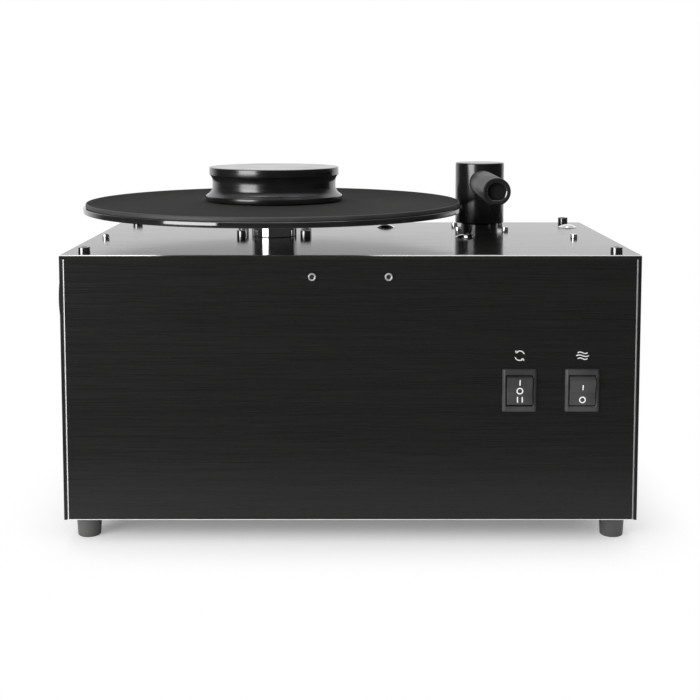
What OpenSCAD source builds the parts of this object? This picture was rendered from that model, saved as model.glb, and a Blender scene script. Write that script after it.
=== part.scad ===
// Record cleaning machine: a cabinet with a driven platter, a record clamp and a swivelling suction arm.
// Millimetres. Origin on the surface that it stands on, under the middle of the whole machine.
// The platter's axis lies on Y = 0, and the front panel faces -Y.

/* [Cabinet] */
// Width of the cabinet over its side panels
cabinet_w = 410; // [404:1:440]
// Depth of the cabinet from front face to rear face
cabinet_d = 235; // [232:1:250]
// Height of the cabinet from its underside to its top face
cabinet_h = 191; // [185:1:215]
// Thickness of the top plate
top_t = 3; // [2.5:0.5:4]
// Thickness of the front panel
front_t = 3; // [2:0.5:4]
// Thickness of the rear panel
rear_t = 2; // [1.5:0.5:3]
// Thickness of each side panel
side_t = 2; // [1.5:0.5:3]
// Thickness of the base plate
base_t = 3; // [2:0.5:5]
// Bevel on the upper edges of the top plate
top_bevel = 0.6; // [0.3:0.1:1]
// Bevel on the upright edges of the front panel
front_bevel = 1.3; // [0.5:0.1:1.6]
// Width of a corner post
post_w = 22; // [18:1:24]
// Depth of a corner post
post_d = 10; // [9:0.5:10]

/* [Feet] */
// Height of a foot
foot_h = 17; // [14:0.5:24]
// Diameter of a foot at its top
foot_top_d = 19.2; // [18:0.1:22]
// Diameter of a foot at its bottom
foot_bottom_d = 17.3; // [16:0.1:20]
// Distance from a foot's axis to the cabinet's side
foot_in_x = 14; // [13:0.5:20]
// Distance from a foot's axis to the cabinet's front or rear face
foot_in_y = 19; // [18:0.5:24]
// Height of the screw recess in a foot
foot_recess_h = 9; // [7:0.5:11]

/* [Screws] */
// Radius of an M5 shank
m5_r = 2.5; // [2.4:0.1:2.6]
// Radius of an M5 cap head
m5_head_r = 4.25; // [4:0.05:4.5]
// Height of an M5 cap head
m5_head_h = 5; // [4:0.25:6]
// Radius of an M4 shank
m4_r = 2; // [1.9:0.1:2.1]
// Radius of an M4 cap head
m4_head_r = 3.5; // [3.2:0.1:3.8]
// Radius of an M3 shank
m3_r = 1.5; // [1.4:0.05:1.6]
// Radius of an M3 cap head
m3_head_r = 2.8; // [2.6:0.05:3]
// Height of an M3 cap head
m3_head_h = 3; // [2:0.25:3.5]
// Distance from a corner screw's axis to the cabinet's side
corner_in_x = 16.5; // [14:0.5:18]
// Distance from a corner screw's axis to the cabinet's front or rear face
corner_in_y = 7; // [6.5:0.25:8]
// Distance from the middle to each front panel screw
front_screw_x = 27; // [20:1:32]
// Drop of the front panel screws below the top face
front_screw_drop = 15.4; // [12:0.2:18]
// Gap round a screw, pin or plug that is fixed in its hole
fix_gap = 0.05; // [0.02:0.01:0.08]

/* [Platter] */
// Distance from the cabinet's middle to the platter axis, to the left
platter_x = 61.2; // [56:0.2:64]
// Distance from the front face back to the platter axis
platter_back = 127.5; // [120:0.5:132]
// Radius of the platter
platter_r = 150.5; // [140:0.5:155]
// Thickness of the platter
platter_t = 4.2; // [3:0.2:6]
// Radius of the mat
mat_r = 148.5; // [135:0.5:152]
// Thickness of the mat
mat_t = 3.3; // [2:0.1:5]
// Radius of the hub under the platter
hub_r = 18; // [16:0.5:20]
// Height of the hub
hub_h = 20.6; // [16:0.2:26]
// Gap between the hub and the top plate
hub_lift = 0.5; // [0.4:0.05:0.8]
// Radius of the hub's grub screw
grub_r = 3; // [2:0.25:3.5]
// Height of the grub screw above the hub's lower face
grub_up = 7.6; // [6:0.2:12]
// Angle of the grub screw, seen from above, left of the front
grub_turn = 11; // [0:1:40]
// Radius of the platter shaft
shaft_r = 6; // [5:0.25:7]
// Radius of the record spindle
spindle_r = 3.6; // [3.5:0.05:3.65]
// Height of the record spindle above the mat
spindle_h = 14; // [10:0.5:18]
// Radial running clearance of shafts and sliding tubes
run_gap = 0.06; // [0.03:0.01:0.09]

/* [Clamp] */
// Height of the clamp above the mat
clamp_h = 27; // [24:0.5:32]
// Radius of the clamp's foot flare
clamp_foot_r = 54.5; // [50:0.5:57]
// Radius of the clamp's waist
clamp_waist_r = 49.3; // [44:0.1:50]
// Radius of the clamp's head
clamp_head_r = 51.7; // [50:0.1:54]
// Height of the clamp's cylindrical head band
clamp_band_h = 6.4; // [4:0.2:9]
// Height of the edge of the clamp's foot flare
clamp_edge_h = 3.6; // [2:0.2:5]
// Height that the clamp's body stands above the mat
clamp_lift = 0.5; // [0.3:0.1:0.8]
// Inner radius of the clamp pad
pad_in_r = 30; // [20:1:36]
// Outer radius of the clamp pad
pad_out_r = 47; // [40:0.5:48]
// Depth of the pad's recess in the clamp
pad_deep = 1.6; // [1:0.1:2.5]
// Gap between parts that rest on each other and move apart
rest_gap = 0.1; // [0.05:0.01:0.2]

/* [Drive] */
// Radius of the platter bush
bush_r = 11; // [9.5:0.25:12]
// Radius of the platter bush's flange
bush_flange_r = 13; // [12.5:0.25:14]
// Thickness of the bearing block
block_t = 14; // [12:0.5:18]
// Distance from the platter axis to each block screw along the front
block_screw_x = 25.4; // [23:0.2:27]
// Distance from the platter axis to each block screw from front to back
block_screw_y = 7; // [6:0.5:10]
// Height of the gearbox case
gearcase_h = 30; // [28:1:36]
// Wall of the gearbox case
gearcase_wall = 3; // [2.5:0.5:4]
// Gear module
gear_m = 1.25; // [1.25:0.05:1.3]
// Teeth of the drive gear
gear_teeth = 48; // [48:16:48]
// Teeth of the motor pinion
pinion_teeth = 16; // [16:1:16]
// Face width of the drive gear
gear_w = 8; // [6:0.5:10]
// Backlash of each gear at its pitch circle
backlash = 0.15; // [0.1:0.01:0.2]
// Radius of the drive motor
motor_r = 18.5; // [16:0.5:20]
// Length of the drive motor
motor_l = 62; // [50:1:70]
// Radius of the drive motor's shaft
motor_shaft_r = 3; // [2.5:0.25:3.5]

/* [Suction arm] */
// Distance from the cabinet's middle to the arm post, to the right
arm_x = 110; // [108:0.2:114]
// Distance from the arm post to the cabinet's rear face
arm_in_y = 49; // [47:0.5:51]
// Radius of the post socket's neck
neck_r = 15.6; // [15:0.1:17]
// Height of the neck above the top face
neck_up = 4.7; // [3:0.1:6]
// Half width of the socket's flange
socket_half = 26; // [24:0.5:28]
// Distance from the post axis to each socket screw, both ways
socket_screw_in = 19.5; // [19:0.25:21]
// Radius of the lift tube
lift_r = 12.5; // [11.5:0.25:13]
// Bore radius of the lift tube
lift_bore_r = 9.5; // [8:0.25:10]
// Radius of the post sleeve
sleeve_r = 20.5; // [19.5:0.25:22]
// Height of the post sleeve's top above the top face
sleeve_up = 56; // [54:0.5:62]
// Height of the arm's axis above the top face
arm_up = 40; // [40:0.25:42]
// Radius of the arm tube
arm_r = 10.5; // [10:0.1:10.8]
// Bore radius of the arm tube
arm_bore_r = 7; // [6:0.25:8]
// Length of the arm from the post axis to its end
arm_l = 124; // [116:1:125]
// Depth of the flat milled under the arm
arm_flat = 0.9; // [0.8:0.05:1]
// Width of the suction slot
slot_w = 2.4; // [1.6:0.2:3]
// Length of the suction slot
slot_l = 78; // [70:1:80]
// Thickness of each velvet lip
lip_t = 1.3; // [1:0.1:1.4]
// Travel of the lift tube
lift_travel = 15; // [10:1:18]

/* [Waste tank] */
// Height of the rubber isolators
isolator_h = 16; // [14:0.5:20]
// Radius of the rubber isolators
isolator_r = 9; // [7:0.5:10]
// Radius of a domed bolt head
dome_r = 8; // [7:0.25:9]
// Height of a domed bolt head
dome_h = 2.7; // [2:0.1:4]
// Thickness of the tank lid
lid_t = 6; // [4:0.5:8]
// Distance from the arm post's axis to the waste tank's left side
tank_left_w = 66; // [60:0.5:70]
// Distance from the waste tank's right side to the cabinet's side
tank_in = 29; // [26:0.5:32]
// Depth of the waste tank from front to back
tank_d = 97; // [90:1:98]
// Height of the waste tank
tank_h = 78; // [68:1:84]
// Wall of the waste tank
tank_wall = 3; // [2:0.25:4]

/* [Vacuum fan] */
// Radius of the fan housing
fan_r = 58; // [54:0.5:60]
// Height of the fan housing
fan_h = 34; // [30:0.5:38]
// Wall of the fan housing
fan_wall = 3; // [2:0.25:4]
// Radius of the vacuum motor
vac_r = 42; // [36:0.5:46]
// Radius of the fan cover's inlet neck
inlet_r = 12; // [10:0.25:14]
// Thickness of the vacuum motor's rubber mount
mount_t = 4; // [3:0.5:8]

/* [Switches] */
// Distance from the vacuum switch's middle to the cabinet's side
switch_in = 40.7; // [38:0.1:46]
// Distance between the middles of the two switches
switch_pitch = 44.5; // [36:0.1:52]
// Drop of the switches below the top face
switch_drop = 96.6; // [88:0.2:110]
// Width of a switch bezel
bezel_w = 24.3; // [23:0.1:26]
// Height of a switch bezel
bezel_h = 30.9; // [29:0.1:33]
// Thickness of a switch bezel
bezel_t = 2; // [1.5:0.1:2.5]
// Width of a rocker
rocker_w = 18.2; // [16:0.1:18.6]
// Height of a rocker
rocker_h = 21.4; // [20:0.1:22.5]
// Height that a level rocker's ends stand out of the bezel
rocker_out = 2.2; // [1.5:0.1:3]
// Tilt of a rocker from level to either side
rocker_tilt = 11; // [8:0.5:12]

/* [Rear and side fittings] */
// Distance that the round side vent stands out
vent_proud = 7.5; // [5:0.5:10]
// Radius of the side vent
vent_r = 30; // [26:0.5:32]
// Distance from the front face back to the side vent's middle
vent_back = 55; // [48:1:70]
// Drop of the side vent's middle below the top face
vent_drop = 36; // [35:0.5:50]
// Width of the mains inlet
inlet_w = 28; // [27:0.5:30]
// Height of the mains inlet
inlet_h = 47; // [46:0.5:50]
// Distance from the mains inlet's middle to the cabinet's side
inlet_in = 55; // [45:1:65]
// Height of the mains inlet's middle above the base plate
inlet_up = 36; // [30:1:50]
// Length of the fuse drawer behind its face
drawer_l = 20; // [16:0.5:22]
// Distance from the drain tap's axis to the tank's right side
tap_in = 26; // [22:1:30]
// Radius of the drain spout
spout_r = 5; // [4.5:0.25:6]
// Length of the drain spout
spout_l = 16; // [12:0.5:18]

/* [Hidden] */
$fn = 96;

// Main places of the cabinet
front_y = -platter_back;
rear_y = front_y + cabinet_d;
mid_x = vent_proud / 2;
bottom_z = foot_h;
face_z = foot_h + cabinet_h;
under_z = face_z - top_t;
floor_z = bottom_z + base_t;
inner_half_w = cabinet_w / 2 - side_t;
inner_front_y = front_y + front_t;
inner_rear_y = rear_y - rear_t;
axis_x = mid_x - platter_x;
fit_gap = 0.3;
cut = 1;

// Corner posts, screws and nuts
corner_grip = 14;
rail_grip = 10;
bracket_grip = 8;
socket_grip = 3;
post_mid_x = inner_half_w - post_w / 2;
corner_x = cabinet_w / 2 - corner_in_x;
corner_screw_l = top_t + corner_grip;
foot_x = cabinet_w / 2 - foot_in_x;
nut_flat = 8;
nut_h = 4;
nut_r = nut_flat / 2 / cos(30);
foot_screw_l = foot_h - foot_recess_h + base_t + nut_h + cut;
foot_screw_hole_r = m5_head_r + 1;
panel_screw_l = 9;
panel_screw_drop = [30, 150];
side_screw_lower = 8;
rail_w = 80;
rail_d = 12;
rail_h = 20;
front_screw_l = front_t + rail_grip;
bracket_h = 10;
bracket_l = 30;
left_bracket_in = 11.3;
right_bracket_in = 27.8;
bracket_back = 111;
bracket_screw_l = top_t + bracket_grip;

// Platter stack, from the hub's lower face up
hub_z = face_z + hub_lift;
platter_z = hub_z + hub_h;
mat_z = platter_z + platter_t;
mat_top_z = mat_z + mat_t;
edge_soft = 0.5;
spindle_tip = 1.2;

// Bearing block and gearbox, hung under the top plate
block_bottom_z = under_z - block_t;
case_bottom_z = block_bottom_z - gearcase_h;
gear_r = gear_m * gear_teeth / 2;
pinion_r = gear_m * pinion_teeth / 2;
gear_c = gear_r + pinion_r;
gear_side_gap = 3;
case_half_d = gear_r + gear_m + gear_side_gap + gearcase_wall;
case_left = case_half_d;
case_right = gear_c + pinion_r + gear_m + gear_side_gap + gearcase_wall;
case_boss = 10;
gear_up = 6;
gear_z = case_bottom_z + gearcase_wall + gear_up;
gear_boss_wall = 6;
gear_boss_r = shaft_r + gear_boss_wall;
gear_boss_h = 6;
pinion_extra = 1;
motor_boss_wall = 3;
motor_boss_r = motor_shaft_r + motor_boss_wall;
motor_shaft_deep = 15;
long_grip = 10;
long_screw_l = gearcase_h + long_grip;
long_head_h = 4;
block_screw_end = 3;
block_screw_l = top_t + block_t - block_screw_end;

// Arm post, from the tank up to the sleeve's top
arm_back = cabinet_d - arm_in_y;
arm_px = mid_x + arm_x;
arm_py = front_y + arm_back;
neck_z = face_z + neck_up;
sleeve_z = neck_z + fit_gap;
arm_z = face_z + arm_up;
arm_clear = 2.5;
lift_top_z = arm_z - arm_r - arm_clear;
shoulder_t = 2;
chamber_r = 15;
cap_t = 5.5;
socket_flange_t = 5;
seal_t = 2;
ring_t = 2;
ring_wall = 2.3;
ring_r = lift_r + ring_wall;
arm_slot_end = 6;
plug_l = 6;
plug_in = 2;
plate_screw_l = top_t + socket_flange_t + socket_grip;

// Waste tank on its lid, hung from three domed bolts
lid_z = under_z - isolator_h - lid_t;
tank_rear_gap = 2;
tank_rear = cabinet_d - rear_t - post_d - tank_rear_gap;
tank_front = tank_rear - tank_d;
tank_left = arm_x - tank_left_w;
tank_right = cabinet_w / 2 - tank_in;
tank_w = tank_right - tank_left;
tank_z = lid_z - tank_h;
tank_boss = 9;
dome_left_gap = 13.7;
dome_right_gap = 10.2;
dome_front_gap = 9.1;
dome_front_x = 18.3;
dome_back = 5.6;
dome_places = [[tank_left - dome_left_gap, arm_back + dome_back],
  [arm_x - dome_front_x, tank_front - dome_front_gap],
  [tank_right + dome_right_gap, arm_back + dome_back]];
lid_margin = 11;
dome_bolt_l = top_t + isolator_h + lid_t + nut_h + cut;
lift_stop = 1;
ring_z = lid_z - lift_travel - lift_stop - ring_t;
lift_tail = 2;
lift_bottom_z = ring_z - lift_tail;
socket_bottom_z = lid_z + lid_t + seal_t;

// Vacuum fan and motor, between the tank and the base plate
fan_neck_x = 4;
fan_neck_y = 5;
fan_x = tank_left + tank_wall + tank_boss + inlet_r + fan_neck_x;
fan_back = tank_front + tank_wall + tank_boss + inlet_r + fan_neck_y;
fan_cover_t = 4;
fan_z = tank_z - fan_cover_t - fan_h;
fan_neck_drop = 14;
neck_top_z = lid_z - fan_neck_drop;
impeller_gap = 4;
impeller_r = fan_r - fan_wall - impeller_gap;
impeller_shaft_r = 4;
vane_count = 12;
vac_shaft_deep = 12;
vac_round = 6;
outlet_r = 11;

// Switches
vacuum_x = cabinet_w / 2 - switch_in;
rotation_x = vacuum_x - switch_pitch;
switch_z = face_z - switch_drop;
bezel_lip_x = 1.2;
bezel_lip_z = 1.3;
socket_w = bezel_w - bezel_lip_x * 2;
socket_h = bezel_h - bezel_lip_z * 2;
socket_deep = 22;
pivot_in = 1;
pivot_r = 1.6;
pivot_out = 1;
rocker_gap = 0.35;
rocker_back = 5;
rocker_dip = 1.2;

// Side vent, mains inlet, tap and power supply
vent_z = face_z - vent_drop;
vent_wall = 2.5;
vent_collar = 6;
vent_slot_w = 3;
vent_slot_pitch = 6.5;
inlet_x = cabinet_w / 2 - inlet_in;
inlet_z = floor_z + inlet_up;
inlet_deep = 30;
inlet_flange_t = 2;
inlet_lip = 1.6;
cavity_w = 24.6;
cavity_h = 16.6;
cavity_deep = 17;
cavity_up = 11;
pin_w = 2;
pin_h = 4;
pin_places = [[-7, -2], [0, 2], [7, -2]];
pin_l = 14.5;
pin_tail = 20;
drawer_w = 20;
drawer_h = 7;
drawer_drop = 10;
drawer_gap = 0.25;
drawer_face_t = 2;
drawer_lip = 1;
drawer_wall = 1.5;
drawer_end = 2;
fuse_l = 12;
tap_bore_r = 3.5;
tap_x = tank_right - tap_in;
tap_up = 8;
tap_z = tank_z + tank_wall + tap_up;
tap_neck_wall = 1.5;
tap_neck_r = spout_r + tap_neck_wall;
tap_flange_t = 3;
tap_body_r = 9;
tap_body_l = 18;
stem_r = 3;
lever_l = 24;
lever_t = 3;
lever_w = 7;
slot_rows = 7;
slot_row_pitch = 8;
slot_row_w = 46;
slot_row_h = 3.2;
slot_row_up = 40;
supply_w = 84;
supply_d = 60;
supply_h = 34;
supply_in = 55;
supply_x = supply_in - cabinet_w / 2;
supply_back = 120;
supply_leg = 5;
supply_leg_r = 4;
supply_leg_in = 6;
supply_slot_w = 3;
supply_slot_pitch = 10;
supply_slot_deep = 2;
supply_slot_in = 8;

// A place named by its distances from the cabinet's middle and behind its front face, and its height
module at(x, back, z) { translate([mid_x + x, front_y + back, z]) children(); }

// Copies in the four corners, mirrored so that +X and +Y of a copy point inward
module corners(x, in_y) {
  for (sx = [-1, 1], sy = [-1, 1])
    translate([mid_x + sx * x, (sy < 0 ? front_y + in_y : rear_y - in_y), 0]) children();
}

// Cap screw with its head's underside at the origin, shank pointing down
module cap_screw(r, head_r, head_h, l) {
  difference() {
    union() {
      cylinder(r = head_r, h = head_h - 0.3);
      translate([0, 0, head_h - 0.3]) cylinder(r1 = head_r, r2 = head_r - 0.3, h = 0.3);
      translate([0, 0, -l]) cylinder(r = r, h = l + cut / 2, $fn = 32);
    }
    translate([0, 0, head_h * 0.4]) cylinder(r = head_r * 0.55, h = head_h, $fn = 6);
  }
}

// Flush countersunk screw with its face at the origin, shank pointing down
module flush_screw(r, head_r, l) {
  difference() {
    union() {
      translate([0, 0, -head_r + r]) cylinder(r1 = r, r2 = head_r, h = head_r - r);
      translate([0, 0, -l]) cylinder(r = r, h = l - head_r + r, $fn = 32);
    }
    translate([0, 0, -r * 0.6]) cylinder(r = r * 0.75, h = r, $fn = 6);
  }
}

// Hole for a flush screw through a panel, from its face inward
module flush_hole(r, head_r, l) {
  translate([0, 0, -head_r + r - fix_gap])
    cylinder(r1 = r + fix_gap, r2 = head_r + fix_gap, h = head_r - r);
  translate([0, 0, -fix_gap]) cylinder(r = head_r + fix_gap, h = cut);
  translate([0, 0, -l - cut]) cylinder(r = r + fix_gap, h = l + cut, $fn = 32);
}

// Plate with its upper four edges bevelled, middle at the origin, lower face on Z = 0
module bevel_plate(w, d, t, bevel) {
  intersection() {
    translate([0, d / 2, 0]) rotate([90, 0, 0]) linear_extrude(d)
      polygon([[-w / 2, 0], [w / 2, 0], [w / 2, t - bevel], [w / 2 - bevel, t],
        [-w / 2 + bevel, t], [-w / 2, t - bevel]]);
    translate([-w / 2, 0, 0]) rotate([90, 0, 90]) linear_extrude(w)
      polygon([[-d / 2, 0], [d / 2, 0], [d / 2, t - bevel], [d / 2 - bevel, t],
        [-d / 2 + bevel, t], [-d / 2, t - bevel]]);
  }
}

// Involute function of a pressure angle, in degrees
function inv(a) = tan(a) * 180 / PI - a;

// Half of a tooth's angle at a radius, for a gear of n teeth
function half_tooth(n, r) =
  let (pitch_r = gear_m * n / 2, base_r = pitch_r * cos(20), reach = max(r, base_r))
  90 / n - backlash / 2 / pitch_r * 180 / PI + inv(20) - inv(acos(base_r / reach));

// Outline of a spur gear with a tooth centred on +X
function gear_outline(n) =
  let (pitch_r = gear_m * n / 2, root = pitch_r - 1.25 * gear_m, tip = pitch_r + 0.9 * gear_m,
    radii = [root, pitch_r - 0.5 * gear_m, pitch_r + 0.25 * gear_m, tip])
  [for (i = [0 : n - 1], side = [-1, 1], k = [0 : 3])
    let (r = radii[side < 0 ? k : 3 - k], a = i * 360 / n + side * half_tooth(n, r))
    r * [cos(a), sin(a)]];

// Points of an arc about a middle, from one angle to another
function arc(c, r, a0, a1, n) = [for (i = [0 : n]) c + r * [cos(a0 + (a1 - a0) * i / n),
  sin(a0 + (a1 - a0) * i / n)]];

// Cabinet
module base_plate() {
  color([0.2, 0.2, 0.21]) difference() {
    translate([mid_x - inner_half_w, inner_front_y, bottom_z])
      cube([inner_half_w * 2, inner_rear_y - inner_front_y, base_t]);
    corners(foot_x, foot_in_y) translate([0, 0, bottom_z - cut])
      cylinder(r = m5_r + fix_gap, h = base_t + cut * 2, $fn = 32);
  }
}

module front_panel() {
  half = inner_half_w;
  color([0.09, 0.09, 0.1]) difference() {
    translate([mid_x, front_y, bottom_z]) linear_extrude(under_z - bottom_z)
      polygon([[-half, front_bevel], [-half + front_bevel, 0], [half - front_bevel, 0],
        [half, front_bevel], [half, front_t], [-half, front_t]]);
    for (x = [rotation_x, vacuum_x]) at(x, front_t / 2, switch_z)
      cube([socket_w + fix_gap * 2, front_t * 2, socket_h + fix_gap * 2], center = true);
    for (sx = [-1, 1]) at(sx * front_screw_x, -cut, face_z - front_screw_drop) rotate([-90, 0, 0])
      cylinder(r = m3_r + fix_gap, h = front_t + cut * 2, $fn = 32);
  }
}

module rear_panel() {
  color([0.12, 0.12, 0.13]) difference() {
    translate([mid_x - inner_half_w, inner_rear_y, bottom_z])
      cube([inner_half_w * 2, rear_t, under_z - bottom_z]);
    at(-inlet_x, cabinet_d - rear_t / 2, inlet_z)
      cube([inlet_w + fix_gap * 2, rear_t * 2, inlet_h + fix_gap * 2], center = true);
    at(tap_x, cabinet_d + cut, tap_z) rotate([90, 0, 0])
      cylinder(r = tap_neck_r + fix_gap, h = rear_t + cut * 2);
    for (i = [0 : slot_rows - 1])
      at(-slot_row_w / 2, cabinet_d - rear_t - cut, floor_z + slot_row_up + i * slot_row_pitch)
        cube([slot_row_w, rear_t + cut * 2, slot_row_h]);
    rear_screw_places() flush_hole(m3_r, m3_head_r, panel_screw_l);
  }
}

// Screw places in the rear panel, with +Z pointing out of the panel
module rear_screw_places() {
  for (sx = [-1, 1], drop = panel_screw_drop)
    at(sx * post_mid_x, cabinet_d, face_z - drop) rotate([-90, 0, 0]) children();
}

// Screw places in one side panel, with +Z pointing out of the panel
module side_screw_places(side) {
  for (back = [front_t + post_d / 2, cabinet_d - rear_t - post_d / 2], drop = panel_screw_drop)
    at(side * cabinet_w / 2, back, face_z - drop - side_screw_lower) rotate([0, side * 90, 0]) children();
}

module side_panel(side) {
  left = side < 0 ? -cabinet_w / 2 : inner_half_w;
  difference() {
    translate([mid_x + left, front_y, bottom_z]) cube([side_t, cabinet_d, under_z - bottom_z]);
    side_screw_places(side) flush_hole(m3_r, m3_head_r, panel_screw_l);
    if (side < 0)
      at(-cabinet_w / 2 - cut, vent_back, vent_z) rotate([0, 90, 0])
        cylinder(r = vent_r - vent_collar + fix_gap, h = side_t + cut * 2);
  }
}

module left_panel() { color([0.07, 0.07, 0.08]) side_panel(-1); }

module right_panel() { color([0.07, 0.07, 0.08]) side_panel(1); }

module top_plate() {
  color([0.55, 0.56, 0.55]) difference() {
    at(0, cabinet_d / 2, under_z) bevel_plate(cabinet_w, cabinet_d, top_t, top_bevel);
    translate([axis_x, 0, under_z - cut]) cylinder(r = bush_flange_r + fix_gap, h = top_t + cut * 2);
    translate([arm_px, arm_py, under_z - cut]) cylinder(r = neck_r + fix_gap, h = top_t + cut * 2);
    for (p = dome_places) at(p[0], p[1], under_z - cut)
      cylinder(r = m5_r + fix_gap, h = top_t + cut * 2, $fn = 32);
    corners(corner_x, corner_in_y) translate([0, 0, under_z - cut])
      cylinder(r = m5_r + fix_gap, h = top_t + cut * 2, $fn = 32);
    block_screw_places() translate([0, 0, -top_t - cut])
      cylinder(r = m5_r + fix_gap, h = top_t + cut * 2, $fn = 32);
    plate_screw_places() translate([0, 0, -top_t - cut])
      cylinder(r = m3_r + fix_gap, h = top_t + cut * 2, $fn = 32);
  }
}

// Places of the small screws in the top plate: two over the side brackets, four round the post socket
module plate_screw_places() {
  at(-cabinet_w / 2 + left_bracket_in, bracket_back, face_z) children();
  at(cabinet_w / 2 - right_bracket_in, bracket_back, face_z) children();
  for (sx = [-1, 1], sy = [-1, 1])
    translate([arm_px + sx * socket_screw_in, arm_py + sy * socket_screw_in, face_z]) children();
}

module block_screw_places() {
  for (sx = [-1, 1], sy = [-1, 1])
    translate([axis_x + sx * block_screw_x, sy * block_screw_y, face_z]) children();
}

module corner_posts() {
  color([0.7, 0.71, 0.72]) difference() {
    for (sx = [-1, 1], sy = [-1, 1])
      translate([mid_x + sx * post_mid_x - post_w / 2,
        (sy < 0 ? inner_front_y : inner_rear_y - post_d), floor_z])
        cube([post_w, post_d, under_z - floor_z]);
    corners(corner_x, corner_in_y) translate([0, 0, face_z - corner_screw_l - cut])
      cylinder(r = m5_r + fix_gap, h = corner_screw_l + cut, $fn = 32);
    rear_screw_places() flush_hole(m3_r, m3_head_r, panel_screw_l);
    for (side = [-1, 1]) side_screw_places(side) flush_hole(m3_r, m3_head_r, panel_screw_l);
  }
}

module corner_screws() {
  color([0.15, 0.15, 0.16]) corners(corner_x, corner_in_y) translate([0, 0, face_z])
    cap_screw(m5_r, m5_head_r, m5_head_h, corner_screw_l);
}

module feet() {
  color([0.05, 0.05, 0.05]) corners(foot_x, foot_in_y) difference() {
    cylinder(r1 = foot_bottom_d / 2, r2 = foot_top_d / 2, h = foot_h);
    translate([0, 0, -cut]) cylinder(r = foot_screw_hole_r, h = foot_recess_h + cut);
    translate([0, 0, -cut]) cylinder(r = m5_r + fix_gap, h = foot_h + cut * 2, $fn = 32);
  }
}

module foot_screws() {
  color([0.7, 0.7, 0.72]) corners(foot_x, foot_in_y) translate([0, 0, foot_recess_h]) mirror([0, 0, 1])
    cap_screw(m5_r, m5_head_r, m5_head_h, foot_screw_l);
}

module hex_nut() {
  difference() {
    cylinder(r = nut_r, h = nut_h, $fn = 6);
    translate([0, 0, -cut]) cylinder(r = m5_r + fix_gap, h = nut_h + cut * 2, $fn = 32);
  }
}

module hex_nuts() {
  color([0.75, 0.75, 0.76]) {
    corners(foot_x, foot_in_y) translate([0, 0, floor_z]) hex_nut();
    for (p = dome_places) at(p[0], p[1], lid_z - nut_h) hex_nut();
  }
}

module front_rail() {
  color([0.7, 0.71, 0.72]) difference() {
    translate([mid_x - rail_w / 2, inner_front_y, under_z - rail_h]) cube([rail_w, rail_d, rail_h]);
    for (sx = [-1, 1]) at(sx * front_screw_x, 0, face_z - front_screw_drop) rotate([-90, 0, 0])
      cylinder(r = m3_r + fix_gap, h = front_screw_l + fix_gap, $fn = 32);
  }
}

module front_screws() {
  color([0.6, 0.6, 0.62]) for (sx = [-1, 1])
    at(sx * front_screw_x, 0, face_z - front_screw_drop) rotate([90, 0, 0])
      cap_screw(m3_r, m3_head_r, 1.2, front_screw_l);
}

module side_brackets() {
  color([0.7, 0.71, 0.72]) difference() {
    union() {
      at(-inner_half_w, bracket_back - bracket_l / 2, under_z - bracket_h)
        cube([left_bracket_in + m5_r, bracket_l, bracket_h]);
      at(inner_half_w - right_bracket_in - m5_r, bracket_back - bracket_l / 2, under_z - bracket_h)
        cube([right_bracket_in + m5_r, bracket_l, bracket_h]);
    }
    plate_screw_places() translate([0, 0, -bracket_screw_l - cut])
      cylinder(r = m3_r + fix_gap, h = bracket_screw_l + cut * 2, $fn = 32);
  }
}

module plate_screws() {
  color([0.8, 0.8, 0.82]) plate_screw_places() cap_screw(m3_r, m3_head_r, m3_head_h, plate_screw_l);
}

module panel_screws() {
  color([0.2, 0.2, 0.2]) {
    rear_screw_places() flush_screw(m3_r, m3_head_r, panel_screw_l);
    for (side = [-1, 1]) side_screw_places(side) flush_screw(m3_r, m3_head_r, panel_screw_l);
  }
}

// Platter drive
module bearing_block() {
  color([0.72, 0.73, 0.74]) difference() {
    translate([axis_x - case_left, -case_half_d, block_bottom_z])
      cube([case_left + case_right, case_half_d * 2, block_t]);
    translate([axis_x, 0, block_bottom_z - cut]) cylinder(r = bush_r + fix_gap, h = block_t + cut * 2);
    block_screw_places() translate([0, 0, -block_screw_l - cut])
      cylinder(r = m5_r + fix_gap, h = block_screw_l + cut * 2, $fn = 32);
    case_screw_places() cylinder(r = m4_r + fix_gap, h = long_screw_l + cut, $fn = 32);
  }
}

// Places of the long screws at the corners of the gearbox case, at its underside
module case_screw_places() {
  inset = gearcase_wall + case_boss / 2;
  for (x = [-case_left + inset, case_right - inset], sy = [-1, 1])
    translate([axis_x + x, sy * (case_half_d - inset), case_bottom_z]) children();
}

module bearing_screws() {
  color([0.2, 0.2, 0.21]) block_screw_places() cap_screw(m5_r, m5_head_r, m5_head_h, block_screw_l);
}

module platter_bearing() {
  color([0.72, 0.55, 0.3]) translate([axis_x, 0, 0]) difference() {
    union() {
      translate([0, 0, block_bottom_z]) cylinder(r = bush_r, h = block_t + cut / 2);
      translate([0, 0, under_z]) cylinder(r = bush_flange_r, h = top_t - fit_gap);
    }
    translate([0, 0, block_bottom_z - cut])
      cylinder(r = shaft_r + run_gap, h = block_t + top_t + cut * 2);
  }
}

module thrust_washer() {
  color([0.9, 0.9, 0.86]) translate([axis_x, 0, face_z - fit_gap]) difference() {
    cylinder(r = bush_flange_r - 0.5, h = hub_lift + fit_gap - rest_gap);
    translate([0, 0, -cut]) cylinder(r = shaft_r + run_gap * 2, h = hub_lift + cut * 2);
  }
}

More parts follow.
